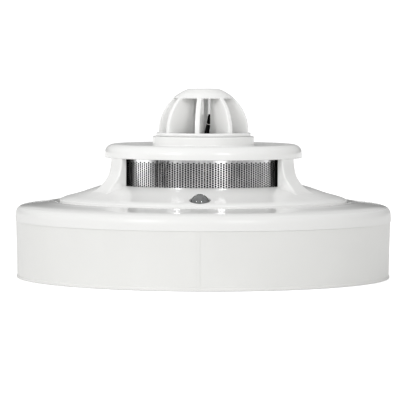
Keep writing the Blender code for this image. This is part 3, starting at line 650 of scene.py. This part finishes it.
def build_housing():
    housing = new_object("head_shell", lathe(housing_outline()))
    lug_r, lug_low, lug_high = LUG
    added = [sector(SKIRT[1] - 0.8, lug_r, angle - LUG_HALF, angle + LUG_HALF,
                    lug_low, lug_high) for angle in BAYONETS]
    added += [post(BOARD_PILLAR_R, HEAD_FLOOR[1] - 0.7, BOARD_LOW - 0.3,
                   polar(BOARD_SCREW_AT, angle), 0.3) for angle in BOARD_SCREWS]
    boolean(housing, together(*added), "UNION")
    holes = [post(RIVET_HOLE_R, HEAD_FLOOR[0] - 1.6, HEAD_FLOOR[1] + 1.0,
                  polar(RIVET_AT, angle)) for angle in TERMINALS]
    holes += [post(BOARD_SCREW_HOLE_R, HEAD_FLOOR[0] + 0.5, HEAD_FLOOR[1] + 3.0,
                   polar(BOARD_SCREW_AT, angle)) for angle in BOARD_SCREWS]
    boolean(housing, together(*holes), "DIFFERENCE")
    place(shade(housing), "head", WHITE_POLISHED_SHADED, "white_abs", "head_housing")


# ---------------------------------------------------------------- upper cover

LIP_FOOT = DECK_TOP - 0.04            # a hair inside the deck, so that the joint is closed
SILL = (24.5, 24.7)                  # radius, height
RAMP = [(25.0, 24.66), (26.4, 24.42), (28.0, 24.0), (29.6, 23.5), (32.0, 22.68),
        (34.25, 22.02), (36.4, 21.46), (37.5, 21.08)]
PLATE_R = 26.25
PLATE_BOTTOM = 31.8
PLATE_IN = (24.6, 33.2)              # inner wall radius, underside
CREST = (23.85, 35.35, 2.4)          # radius, height, round
COLLAR_R = 13.5
COLLAR_BORE = 11.9
COLLAR_EDGE = COLLAR_TOP + 0.25      # the collar meets the cage's flange in a fine joint
DISH = [(14.2, 34.97), (17.5, 35.02), (20.4, 35.16), (22.6, 35.31), (23.85, 35.35)]
STRUT_IN = 24.6
STRUT_HALF = 3.1
STRUT_OUT = [(26.1, 32.4), (26.08, 31.2), (26.35, 29.1), (26.8, 27.5), (27.25, 26.7),
             (27.8, 25.95), (28.5, 25.15), (30.3, 23.45), (31.9, 22.5)]
STRUT_EDGE = 0.4
STRUT_LOW = 22.55                    # inside the ramp
STRUT_TUCK = 0.45                    # how far the strut goes up into the plate
FOOT_FILLET = (0.15, 1.7)            # at the window's edge, and on the outside
FOOT_FILLET_GROWS = 1.8              # over this distance outwards
TOP_FILLET = 0.15
SPIGOT = (36.8, 35.8)                # outer, inner radius
LAMP_HOLE_R = 2.75
SPIGOT_NOTCH = (6.0, 7.6, 3.4)       # room for the lamp, under its hole
NOTCH_AT = (35.8, 0.0, SPIGOT_BOTTOM + 1.6)


def ramp_outline():
    spigot_out, spigot_in = SPIGOT
    outline = [(r, z, 0.0) for r, z in smooth_curve(RAMP)]
    outline += [(LIP_R, 20.75, 0.3), (LIP_R, LIP_FOOT, 0.02), (spigot_out, LIP_FOOT, 0.0),
                (spigot_out, SPIGOT_BOTTOM, 0.3), (spigot_in, SPIGOT_BOTTOM, 0.2),
                (spigot_in, 19.95, 0.6), (28.0, 22.3, 1.0), (SILL[0], 23.0, 0.2),
                (SILL[0], SILL[1], 0.25)]
    return rounded(outline, 4)


def plate_outline():
    corners = [(COLLAR_BORE, COLLAR_EDGE, 0.15), (COLLAR_R, COLLAR_EDGE, 0.35),
               (COLLAR_R, DISH[0][1], 0.45)]
    corners += [(r, z, 0.0) for r, z in smooth_curve(DISH, 6)]
    rim = arc((CREST[0], CREST[1] - CREST[2]), CREST[2], 88.0, 0.0, 14)
    corners += [(r, z, 0.0) for r, z in rim]
    corners += [(PLATE_R, PLATE_BOTTOM, 0.25), (PLATE_IN[0], PLATE_BOTTOM, 0.1),
                (PLATE_IN[0], PLATE_IN[1], 0.5), (COLLAR_BORE, PLATE_IN[1], 0.3)]
    return rounded(corners, 5)


def read_curve(curve, axis, value):
    """A curve's other coordinate where its radius (axis 0) or height (1) has a value."""
    points = sorted(curve, key=lambda point: point[axis])
    for low, high in zip(points, points[1:]):
        if low[axis] <= value <= high[axis]:
            share = (value - low[axis]) / (high[axis] - low[axis])
            return low[1 - axis] + (high[1 - axis] - low[1 - axis]) * share
    return points[0 if value < points[0][axis] else -1][1 - axis]


def fillet_push(gap, radius):
    """How far a wall leans out to meet a surface, at a distance above it."""
    reach = max(0.0, min(1.0, (radius - gap - 0.04) / radius))
    return radius * (1.0 - math.sqrt(1.0 - min(reach, 0.999) ** 2))


def strut_mesh(angle, levels=64):
    """A post with a concave outer face, whose side walls run out over the ramp."""
    ramp = smooth_curve(RAMP)
    outer = smooth_curve(STRUT_OUT)
    low, high = STRUT_LOW, PLATE_BOTTOM + STRUT_TUCK
    bm = bmesh.new()
    rings = []
    for level in range(levels + 1):
        z = low + (high - low) * level / levels
        ring = []
        for u, v in strut_section(read_curve(outer, 1, z)):
            side = math.copysign(1.0, v)
            growth = min(1.0, (u - STRUT_IN) / FOOT_FILLET_GROWS)
            foot = FOOT_FILLET[0] + (FOOT_FILLET[1] - FOOT_FILLET[0]) * growth
            push = fillet_push(z - read_curve(ramp, 0, u), foot)
            push += fillet_push(PLATE_BOTTOM - z, TOP_FILLET)
            share = min(1.0, abs(v) / (STRUT_HALF - 0.6))
            ring.append(bm.verts.new((u * MM, (v + side * push * share ** 3) * MM, z * MM)))
        rings.append(ring)
    count = len(rings[0])
    for lower, upper in zip(rings, rings[1:]):
        for index in range(count):
            following = (index + 1) % count
            bm.faces.new((lower[index], lower[following], upper[following], upper[index]))
    bm.faces.new(rings[0][::-1])
    bm.faces.new(rings[-1])
    bm.transform(turn_to(angle))
    return to_mesh(bm)


def strut_section(out):
    """One level of a strut, anticlockwise: inner face, side, outer face, side."""
    corners = [(STRUT_IN, -STRUT_HALF, 0.1), (out, -STRUT_HALF, STRUT_EDGE),
               (out, STRUT_HALF, STRUT_EDGE), (STRUT_IN, STRUT_HALF, 0.1)]
    outline = rounded(corners, 5)
    dense = []
    for (x1, y1), (x2, y2) in zip(outline, outline[1:] + outline[:1]):
        pieces = 6 if math.hypot(x2 - x1, y2 - y1) > 0.4 else 1
        for piece in range(pieces):
            t = piece / pieces
            dense.append((x1 + (x2 - x1) * t, y1 + (y2 - y1) * t))
    return dense


def build_cover():
    cover = new_object("cover_shell", lathe(ramp_outline()))
    boolean(cover, together(*(strut_mesh(angle) for angle in STRUTS)), "UNION")
    boolean(cover, lathe(plate_outline()), "UNION")
    lamp = (LAMP.x, LAMP.y)
    hole = post(LAMP_HOLE_R, SPIGOT_BOTTOM - 1.0, LAMP_TOP + 3.0, lamp)
    boolean(cover, hole, "DIFFERENCE")
    boolean(cover, block(SPIGOT_NOTCH, NOTCH_AT, turn_to(FRONT)), "DIFFERENCE")
    place(shade(cover), "cover", WHITE_GLOSS, "white_abs", "upper_cover")


# ---------------------------------------------------------------- thermistor cage

SPHERE = (12.0, 38.7)                # radius, centre height
CAP_LOW = 47.5
FLANGE = (37.5, 38.4)                # underside, top
RING = (10.4, 11.6)                  # inner, outer radius
FINS = 8
FIN_THICK = 1.25
FIN_IN = 3.65                        # radius of the fins' inner edges
FIN_TURN = -6.6                      # degrees from the front to the nearest fin


def elevation_at(z):
    return math.degrees(math.asin((z - SPHERE[1]) / SPHERE[0]))


def build_cage():
    ring = rounded([
        (RING[0], FLANGE[1], 0.2), (FLANGE_R, FLANGE[1], 0.28), (FLANGE_R, FLANGE[0], 0.1),
        (RING[1], FLANGE[0], 0.1), (RING[1], CAGE_BOTTOM, 0.3), (RING[0], CAGE_BOTTOM, 0.2)], 4)
    cage = new_object("cage_shell", lathe(ring, FINE))
    fins = []
    for number in range(FINS):
        fin = new_object("fin", fin_mesh())
        bevel(fin, 0.22, 3)
        mesh = evaluated_mesh(fin).copy()
        bpy.data.objects.remove(fin)
        mesh.transform(turn_to(FRONT + FIN_TURN + 360.0 * number / FINS))
        fins.append(mesh)
    boolean(cage, together(*fins), "UNION")
    boolean(cage, lathe(cap_outline(), FINE), "UNION")
    place(shade(cage), "cover", WHITE_THIN_LIT, "white_abs", "thermistor_cage")


def fin_mesh():
    embed = FLANGE[1] - 0.45
    outer = arc((0.0, SPHERE[1]), SPHERE[0] - 0.02, elevation_at(embed),
                elevation_at(CAP_LOW + 0.7), 36)
    outline = outer + [(FIN_IN, CAP_LOW + 0.7), (FIN_IN, embed)]
    return prism(outline, -FIN_THICK / 2, FIN_THICK / 2, UPRIGHT)


def cap_outline():
    """The flat-topped cap above the fins, its lower edge slightly rounded."""
    side = arc((0.0, SPHERE[1]), SPHERE[0], elevation_at(CAGE_TOP),
               elevation_at(CAP_LOW + 0.12), 20)
    top_r = side[0][0]
    corners = [(0.0, CAGE_TOP, 0.0), (top_r - 0.12, CAGE_TOP, 0.0)]
    corners += [(r, z, 0.0) for r, z in side[1:]]
    low_r = side[-1][0]
    corners += [(low_r - 0.06, CAP_LOW, 0.0), (0.0, CAP_LOW, 0.0)]
    return rounded(corners)


# ---------------------------------------------------------------- insect screen

COLUMNS = 208
HOLE_R = 0.28
HALF_PITCH = 0.295                   # half the height from one hole to the next
HOLE_ROWS = 12
TOP_BORDER = 0.48                    # plain strip above the top row of holes
TUCK = 0.25                          # how far the sheet goes up under the lid's flange
SHEET = 0.12                         # thickness
LAP_COLUMNS = 8
SCREEN_START = FRONT - 3.8           # direction of the sheet's outer end


def perforated_strip(name, radius, first_angle, columns):
    """Rolled sheet with staggered round holes and a plain border above and below."""
    bm = bmesh.new()
    step = 360.0 / COLUMNS
    units = 2 * HOLE_ROWS + 1
    grid_low = SCREEN_HIGH - TOP_BORDER - units * HALF_PITCH
    top_edge = SCREEN_HIGH + TUCK

    def vertex(x, z):
        px, py = polar(radius, first_angle + x * step)
        return bm.verts.new((px * MM, py * MM, z * MM))

    def height(unit):
        return grid_low + unit * HALF_PITCH

    def polygon(points):
        bm.faces.new([vertex(x, z) for x, z in points])

    wide = radius * math.radians(step)
    for column in range(columns):
        x0, xm, x1 = column, column + 0.5, column + 1
        start = column % 2
        for row in range(HOLE_ROWS):
            low, high = height(start + 2 * row), height(start + 2 * row + 2)
            centre = (low + high) / 2
            frame_points = [(x0, low), (xm, low), (x1, low), (x1, centre),
                            (x1, high), (xm, high), (x0, high), (x0, centre)]
            hole_points = [(xm + HOLE_R * math.cos(a) / wide, centre + HOLE_R * math.sin(a))
                           for a in (math.radians(225 + 45 * k) for k in range(8))]
            rim = [vertex(x, z) for x, z in frame_points]
            hole = [vertex(x, z) for x, z in hole_points]
            for k in range(8):
                n = (k + 1) % 8
                bm.faces.new((rim[k], rim[n], hole[n], hole[k]))
        filler = 0 if start else units - 1
        bottom, top = height(filler), height(filler + 1)
        polygon([(x0, bottom), (xm, bottom), (x1, bottom), (x1, top), (xm, top), (x0, top)])
        polygon([(x0, SCREEN_LOW), (x1, SCREEN_LOW), (x1, height(0)), (xm, height(0)),
                 (x0, height(0))])
        polygon([(x0, height(units)), (xm, height(units)), (x1, height(units)),
                 (x1, top_edge), (x0, top_edge)])
    bmesh.ops.remove_doubles(bm, verts=bm.verts, dist=0.002 * MM)
    mesh = bpy.data.meshes.new(name)
    bm.to_mesh(mesh)
    bm.free()
    strip = new_object(name, mesh)
    solid = strip.modifiers.new("sheet", "SOLIDIFY")
    solid.thickness = SHEET * MM
    solid.offset = -1.0
    evaluated_mesh(strip).shade_smooth()
    strip.data.set_sharp_from_angle(angle=math.radians(50.0))
    return strip


def build_screen():
    screen = perforated_strip("screen_sheet", SCREEN_R - 0.02, SCREEN_START, COLUMNS)
    place(screen, "head", SCREEN_STEEL, "screen_steel", "insect_screen")
    lap_start = SCREEN_START - LAP_COLUMNS * 360.0 / COLUMNS
    lap = perforated_strip("screen_lap", SCREEN_R + SHEET - 0.01, lap_start, LAP_COLUMNS)
    place(lap, "head", SCREEN_STEEL, "screen_steel")


# ---------------------------------------------------------------- chamber and optics

CHAMBER_R = 22.9
LID_STEPS = (31.0, 32.0)             # underside, underside of the flange
LID_GROOVE = (21.6, 22.6, 0.2, 0.35)          # inner and outer radius, slope, depth
LID_GATES = (30.0, 150.0, 270.0)
LID_GATE = (12.0, 1.1, 0.25)         # distance from the axis, radius, depth
PILLAR = (23.85, 2.9, -0.9)          # inner radius, half its arc, clocking
LEAD_GROOVE = (0.5, 2.6, 19.8, 2.2)  # middle X, width, slot's middle Y, slot's length


def build_chamber_lid():
    low, flange = LID_STEPS
    groove_in, groove_out, slope, depth = LID_GROOVE
    outline = rounded([
        (0.0, LID_TOP, 0.0), (groove_in, LID_TOP, 0.0), (groove_in + slope, LID_TOP - depth, 0.0),
        (groove_out - slope, LID_TOP - depth, 0.0), (groove_out, LID_TOP, 0.0),
        (LID_R, LID_TOP, 0.12),
        (LID_R, flange, 0.08), (CHAMBER_R, flange, 0.1), (CHAMBER_R, low, 0.3),
        (0.0, low, 0.0)], 3)
    lid = new_object("chamber_lid_moulding", lathe(outline, FINE * 2))
    inner, half, clocking = PILLAR
    pillars = [sector(inner, LID_R, angle + clocking - half, angle + clocking + half,
                      PILLAR_BOTTOM, flange + 0.4) for angle in STRUTS]
    boolean(lid, together(*pillars), "UNION")
    middle_x, width, slot_y, slot_length = LEAD_GROOVE
    back = slot_y + slot_length / 2
    boolean(lid, block((width, back + 1.3, 2.0), (middle_x, (back - 1.3) / 2, LID_TOP + 0.1)),
            "DIFFERENCE")
    boolean(lid, block((width - 0.02, slot_length - 0.02, 4.0), (middle_x, slot_y, low)),
            "DIFFERENCE")
    gate_at, gate_r, gate_depth = LID_GATE
    gates = [post(gate_r, LID_TOP - gate_depth, LID_TOP + 1.0, polar(gate_at, angle),
                  steps=FINE // 4) for angle in LID_GATES]
    boolean(lid, together(*gates), "DIFFERENCE")
    bevel(lid, 0.06, 1, 50.0)
    evaluated_mesh(lid)
    place(shade(lid), "head", BLACK_MATT, "black_abs", "chamber_lid")


# ---------------------------------------------------------------- indicator lamp

LAMP_CORE_R = 1.5
LAMP_LEAD_SIDE = 0.9


def build_lamp():
    """A round-topped clear lamp, with a milky core and the two leads' tops inside."""
    low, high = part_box("status_led")
    radius, foot = (high.x - low.x) / 2 / MM, low.z / MM
    body = new_object("lamp_body", dome(radius, foot, LAMP_TOP))
    place(shade(body), "head", CLEAR_EPOXY, "clear_epoxy", "status_led")
    core_top = LAMP_TOP - radius + LAMP_CORE_R
    core = new_object("lamp_core", dome(LAMP_CORE_R, core_top - 4.0, core_top))
    place(shade(core), "head", LAMP_CORE, "clear_epoxy")
    tops = []
    for side in (-LAMP_LEAD_SIDE, LAMP_LEAD_SIDE):
        tops.append(post(0.3, foot + 0.3, core_top - 4.1, (LAMP.x + side, LAMP.y), 0.1, 16))
    leads = new_object("lamp_lead_frame", together(*tops))
    place(shade(leads), "head", PLATED_STEEL, "plated_steel")


def dome(radius, foot, top):
    """A round post on the lamp's axis with a half sphere on top."""
    side = arc((0.0, top - radius), radius, 90.0, 0.0, 20)
    corners = [(r, z, 0.0) for r, z in side] + [(radius, foot, 0.15), (0.0, foot, 0.0)]
    return lathe(rounded(corners, 3), FINE, (LAMP.x, LAMP.y))


# ---------------------------------------------------------------- thermistor

def tube(points, radius, resolution=6, taper=None):
    """A round tube along a smooth curve through the points, with closed ends."""
    curve = bpy.data.curves.new("tube", "CURVE")
    curve.dimensions = "3D"
    curve.bevel_depth = radius * MM
    curve.bevel_resolution = resolution
    curve.use_fill_caps = True
    route = smooth_curve(points, 6)
    spline = curve.splines.new("POLY")
    spline.points.add(len(route) - 1)
    for index, (point, spot) in enumerate(zip(spline.points, route)):
        point.co = (*(value * MM for value in spot), 1.0)
        if taper:
            point.radius = taper(index / (len(route) - 1))
    holder = bpy.data.objects.new("tube", curve)
    bpy.context.scene.collection.objects.link(holder)
    bpy.context.view_layer.update()
    depsgraph = bpy.context.evaluated_depsgraph_get()
    mesh = bpy.data.meshes.new_from_object(holder.evaluated_get(depsgraph))
    bpy.data.objects.remove(holder)
    bpy.data.curves.remove(curve)
    bm = bmesh.new()
    bm.from_mesh(mesh)
    bpy.data.meshes.remove(mesh)
    return to_mesh(bm)


SLEEVE_ROUTE = [(0.5, 0.0, 32.7), (0.62, 0.0, 34.5), (0.75, 0.0, 36.5), (0.90, 0.0, 38.3),
                (1.12, 0.0, 39.5), (1.36, 0.0, 40.5)]
SLEEVE_TUBE_R = 0.66
BEAD_ROUTE = [(1.40, 0.0, 40.6), (1.56, 0.0, 41.4), (1.72, 0.0, 42.3), (1.82, 0.0, 43.3)]
BEAD_R = 0.60
WIRE_R = 0.09
WIRE_SIDE = 0.16                     # of each bead wire, from the middle


def sleeve_taper(t):
    """The shrunk sleeve's radius along its length: a little wavy, thinner at the top."""
    return 1.0 - 0.06 * math.sin(9.0 * t) - 0.04 * t


def bead_taper(t):
    """The bead's radius along its length: full in the middle, rounded at both ends."""
    return math.sqrt(1.06 - abs(2.0 * t - 1.0) ** 6)


def build_thermistor():
    sleeve = new_object("heat_shrink", tube(SLEEVE_ROUTE, SLEEVE_TUBE_R, taper=sleeve_taper))
    place(shade(sleeve, 60.0), "head", SLEEVE_RUBBER, "sleeve_rubber", "thermistor_sleeve")
    bead = new_object("sensing_bead", tube(BEAD_ROUTE, BEAD_R, taper=bead_taper))
    place(shade(bead, 60.0), "head", BEAD_EPOXY, "black_epoxy", "thermistor_bead")
    for number, side in enumerate((-WIRE_SIDE, WIRE_SIDE), start=1):
        wire = new_object(f"bead_wire_{number}", tube(
            [(1.30, side, 40.4), (1.42, side, 40.9), (1.52, side * 0.8, 41.3)], WIRE_R, 3))
        place(shade(wire, 60.0), "head", TINNED_COPPER, "tinned_copper")


# ---------------------------------------------------------------- details on the board

CHIP_TURN = 238.0                    # direction of the microcontroller
CHIP_AT = 30.0
LEGS_PER_SIDE = 7
LEG_PITCH = 0.8
LEG_WIDTH = 0.32
LEG_PARTS = [((0.9, 0.14), (4.25, 0.12)), ((0.5, 0.14), (3.72, 0.85)),
             ((0.14, 0.75), (3.92, 0.48))]    # length and height, place outwards and upwards
SMALL_PART = (2.0, 1.25, 0.6)
SMALL_PART_ANGLES = (12, 20, 40, 72, 105, 112, 170, 196, 222, 256, 284, 292, 305, 318, 345)
SMALL_PART_RADII = (33.2, 27.0)      # the second one where the angle divides by four
LAND = (0.9, 1.5, 0.08)
LAND_SIDE = 1.15


def chip_leg_meshes():
    """The microcontroller's legs, each a foot, a shoulder and the upright between them."""
    chip = turn_to(CHIP_TURN)
    legs = []
    for side in range(4):
        spin = Matrix.Translation((CHIP_AT * MM, 0.0, 0.0)) @ turn_to(90.0 * side)
        for index in range(LEGS_PER_SIDE):
            offset = (index - (LEGS_PER_SIDE - 1) / 2) * LEG_PITCH
            for (length, height), (outwards, upwards) in LEG_PARTS:
                legs.append(block((length, LEG_WIDTH, height),
                                  (outwards, offset, BOARD_TOP + upwards), chip @ spin))
    return legs


def build_board_details():
    """Chip legs, solder lands and small parts around the board's rim."""
    top = BOARD_TOP
    chip_legs = new_object("chip_legs", together(*chip_leg_meshes()))
    place(bevel(chip_legs, 0.03, 1), "head", TINNED_COPPER, "tinned_copper")
    lands, small = [], []
    for angle in SMALL_PART_ANGLES:
        spin = turn_to(float(angle))
        radius = SMALL_PART_RADII[0] if angle % 4 else SMALL_PART_RADII[1]
        small.append(block(SMALL_PART, (radius, 0.0, top + 0.36), spin))
        for end in (-LAND_SIDE, LAND_SIDE):
            lands.append(block(LAND, (radius + end, 0.0, top + LAND[2] / 2), spin))
    parts = new_object("surface_mount_parts", together(*small))
    place(bevel(parts, 0.08, 2), "head", BLACK_EPOXY, "black_epoxy")
    for angle in TERMINALS:
        lands.append(post(2.0, top, top + 0.10, polar(RIVET_AT, angle)))
        lands.append(post(1.2, top, top + 0.75, polar(RIVET_AT, angle), 0.55))
    solder = new_object("solder_lands", together(*lands))
    place(bevel(solder, 0.03, 1), "head", TINNED_COPPER, "tinned_copper")


# ---------------------------------------------------------------- carried-over nodes

def refined(node, body, material, slot_name, width, segments=2, angle=30.0):
    """A copy of a CAD node with welded, softly rounded edges, in its node's place."""
    bm = bmesh.new()
    bm.from_mesh(frame["nodes"][node].data)
    bmesh.ops.remove_doubles(bm, verts=bm.verts, dist=0.001 * MM)
    bmesh.ops.dissolve_limit(bm, angle_limit=math.radians(1.0), verts=bm.verts, edges=bm.edges)
    mesh = bpy.data.meshes.new(node)
    bm.to_mesh(mesh)
    bm.free()
    piece = new_object(f"{node}_finished", mesh)
    bevel(piece, width, segments, angle)
    place(shade(piece), body, material, slot_name, node)
    return piece


def build_hardware():
    for number in range(1, 5):
        refined(f"terminal_spring_{number}", "base", SPRING_STEEL, "spring_steel", 0.12)
        refined(f"clamp_washer_{number}", "base", PLATED_STEEL, "plated_steel", 0.15)
        refined(f"terminal_screw_{number}", "base", PLATED_STEEL, "plated_steel", 0.25, 3, 40.0)
        refined(f"contact_blade_{number}", "head", SPRING_STEEL, "spring_steel", 0.12)
        refined(f"contact_rivet_{number}", "head", TINNED_COPPER, "tinned_copper", 0.25, 3, 40.0)
    for number in range(1, 4):
        refined(f"board_screw_{number}", "head", PLATED_STEEL, "plated_steel", 0.2, 3, 40.0)
    refined("circuit_board", "head", BOARD, "board_laminate", 0.1, 2, 50.0)
    refined("chamber_base", "head", BLACK_MATT, "black_abs", 0.1)
    refined("relay", "head", RELAY_CASE, "relay_case", 0.35, 3)
    refined("microcontroller", "head", BLACK_EPOXY, "black_epoxy", 0.12)
    refined("surge_suppressor", "head", BLACK_EPOXY, "black_epoxy", 0.2)
    refined("reed_switch", "head", REED_GLASS, "reed_glass", 0.3, 3, 50.0)
    refined("infrared_emitter", "head", CLEAR_EPOXY, "clear_epoxy", 0.4, 3, 50.0)
    refined("photodiode", "head", BLACK_EPOXY, "black_epoxy", 0.4, 3, 50.0)
    refined("photodiode_shield", "head", PLATED_STEEL, "plated_steel", 0.1)
    for number in (1, 2):
        refined(f"capacitor_{number}", "head", CAN_ALUMINIUM, "can_aluminium", 0.5, 3, 50.0)
        refined(f"thermistor_lead_{number}", "head", TINNED_COPPER, "tinned_copper", 0.05, 1, 60.0)


# ---------------------------------------------------------------- studio, in metres

CAMERA_DISTANCE = 0.7461
CAMERA_HEIGHT = 0.05768
CAMERA_AZIMUTH = 1.4                 # degrees towards +X
CAMERA_LENS = 252.0
AIM_HEIGHT = 0.02038
AIM_SIDE = -0.00086                  # to the right of the axis, seen from the camera
CAMERA_ROLL = 0.2
SOFTBOXES = (("left", -35.0, 3.7), ("right", 25.0, 2.8))    # azimuth, power
SOFTBOX_ELEVATION = 24.0
SOFTBOX_DISTANCE = 1.3
SOFTBOX_SIDE = 0.22
SOFTBOX_AIM = 0.025                  # height of the point that they face


def build_camera():
    data = bpy.data.cameras.new("camera")
    data.lens = CAMERA_LENS
    data.sensor_width = 36.0
    data.clip_start = 0.01
    camera = bpy.data.objects.new("camera", data)
    bpy.context.scene.collection.objects.link(camera)
    angle = math.radians(CAMERA_AZIMUTH)
    right = Vector((math.cos(angle), math.sin(angle), 0.0))
    camera.location = (CAMERA_DISTANCE * math.sin(angle), -CAMERA_DISTANCE * math.cos(angle),
                       CAMERA_HEIGHT)
    aim = right * AIM_SIDE + Vector((0.0, 0.0, AIM_HEIGHT))
    facing = (aim - camera.location).to_track_quat("-Z", "Y")
    roll = Matrix.Rotation(math.radians(CAMERA_ROLL), 3, "Z").to_quaternion()
    camera.rotation_mode = "QUATERNION"
    camera.rotation_quaternion = facing @ roll
    bpy.context.scene.camera = camera


def build_softbox(name, azimuth, power):
    """A square soft light that faces the object; azimuth 0 is the front."""
    data = bpy.data.lights.new(name, "AREA")
    data.shape = "RECTANGLE"
    data.size = data.size_y = SOFTBOX_SIDE
    data.energy = power
    light = bpy.data.objects.new(name, data)
    bpy.context.scene.collection.objects.link(light)
    rise = math.radians(SOFTBOX_ELEVATION)
    x, y = polar(SOFTBOX_DISTANCE * math.cos(rise), FRONT + azimuth)
    light.location = (x, y, SOFTBOX_DISTANCE * math.sin(rise) + SOFTBOX_AIM)
    aim = Vector((0.0, 0.0, SOFTBOX_AIM)) - light.location
    light.rotation_euler = aim.to_track_quat("-Z", "Y").to_euler()


# Brightness of the surroundings around the horizon: (azimuth, brightness), front at 0
HORIZON = ((-180.0, 1.12), (-112.0, 1.12), (-94.0, 2.0), (-78.0, 1.9), (-62.0, 0.07),
           (-44.0, 0.07), (-37.0, 0.95), (-31.0, 0.90), (-25.0, 0.50), (0.0, 0.65),
           (14.0, 0.65), (20.0, 1.9), (30.0, 1.7), (36.0, 0.5), (50.0, 0.45),
           (80.0, 0.75), (96.0, 1.3), (120.0, 1.12), (180.0, 1.12))
HORIZON_PEAK = 2.0
# Above the horizon; each span says where a change starts and ends, as a part of the
# direction's X, Y or Z
OVERHEAD_SPAN = (0.022, 0.036)       # Z: from the horizon's brightness to the overhead one
OVERHEAD_FRONT = 0.84
OVERHEAD_BEHIND = (0.07, 0.55)       # low down and high up
BEHIND_RISE_SPAN = (0.06, 0.28)      # Z: from the first to the second
BEHIND_SPAN = (0.2, 0.92)            # Y: from the front's brightness to the one behind
OVERHEAD_SIDES = (1.22, 0.78)        # factors at the left and at the right
SIDES_SPAN = (-0.9, 0.9)             # X: from the first to the second
FLOOR_RADIUS = 0.5
FLOOR_Z = -0.0001
FLOOR_GLOW = 0.55


def build_world():
    """Pale surroundings: a light tent with strip lights and dark flags around it."""
    world = bpy.data.worlds.new("studio")
    bpy.context.scene.world = world
    world.use_nodes = True
    tree = world.node_tree
    where = tree.nodes.new("ShaderNodeTexCoord")
    axes = tree.nodes.new("ShaderNodeSeparateXYZ")
    tree.links.new(where.outputs["Generated"], axes.inputs[0])

    def smooth(axis, span, values):
        return map_range(tree, axes.outputs[axis], *span, *values, "SMOOTHSTEP")

    backward = arithmetic(tree, "MULTIPLY", axes.outputs["Y"], -1.0)
    azimuth = arithmetic(tree, "ARCTAN2", axes.outputs["X"], backward)
    stops = tree.nodes.new("ShaderNodeValToRGB")
    tree.links.new(map_range(tree, azimuth, -math.pi, math.pi, 0.0, 1.0), stops.inputs["Fac"])
    elements = stops.color_ramp.elements
    elements.remove(elements[1])
    for index, (angle, brightness) in enumerate(HORIZON):
        position = (angle + 180.0) / 360.0
        element = elements.new(position) if index else elements[0]
        element.position = position
        element.color = (*(brightness / HORIZON_PEAK,) * 3, 1.0)
    horizon = arithmetic(tree, "MULTIPLY", stops.outputs["Color"], HORIZON_PEAK)
    behind = smooth("Z", BEHIND_RISE_SPAN, OVERHEAD_BEHIND)
    change = arithmetic(tree, "SUBTRACT", behind, OVERHEAD_FRONT)
    change = arithmetic(tree, "MULTIPLY", change, smooth("Y", BEHIND_SPAN, (0.0, 1.0)))
    overhead = arithmetic(tree, "ADD", change, OVERHEAD_FRONT)
    sides = map_range(tree, axes.outputs["X"], *SIDES_SPAN, *OVERHEAD_SIDES)
    overhead = arithmetic(tree, "MULTIPLY", overhead, sides)
    rise = arithmetic(tree, "SUBTRACT", overhead, horizon)
    rise = arithmetic(tree, "MULTIPLY", rise, smooth("Z", OVERHEAD_SPAN, (0.0, 1.0)))
    background = tree.nodes["Background"]
    strength = arithmetic(tree, "ADD", horizon, rise)
    tree.links.new(strength, background.inputs["Strength"])
    background.inputs["Color"].default_value = (1.0, 1.0, 1.0, 1.0)


def build_floor():
    bm = bmesh.new()
    bmesh.ops.create_circle(bm, cap_ends=True, segments=96, radius=FLOOR_RADIUS)
    bmesh.ops.translate(bm, verts=bm.verts, vec=(0.0, 0.0, FLOOR_Z))
    mesh = bpy.data.meshes.new("floor")
    bm.to_mesh(mesh)
    bm.free()
    floor = new_object("floor", mesh)
    material, tree, shader, where = new_material("pale_paper")
    tree.links.new(blend_colours(tree, noise(tree, where, 3.0), (0.90, 0.90, 0.895),
                                 (0.88, 0.88, 0.875)), shader.inputs["Base Color"])
    shader.inputs["Roughness"].default_value = 0.9
    shader.inputs["Emission Color"].default_value = (1.0, 1.0, 1.0, 1.0)
    path = tree.nodes.new("ShaderNodeLightPath")
    glow = arithmetic(tree, "MULTIPLY", path.outputs["Is Camera Ray"], FLOOR_GLOW)
    tree.links.new(glow, shader.inputs["Emission Strength"])
    mesh.materials.append(material)


def build_studio():
    build_camera()
    for side, azimuth, power in SOFTBOXES:
        build_softbox(f"softbox_{side}", azimuth, power)
    build_world()
    build_floor()
    bpy.context.scene.view_settings.view_transform = "Standard"


build_studio()
build_base()
build_housing()
build_cover()
build_cage()
build_screen()
build_chamber_lid()
build_lamp()
build_thermistor()
build_board_details()
build_hardware()
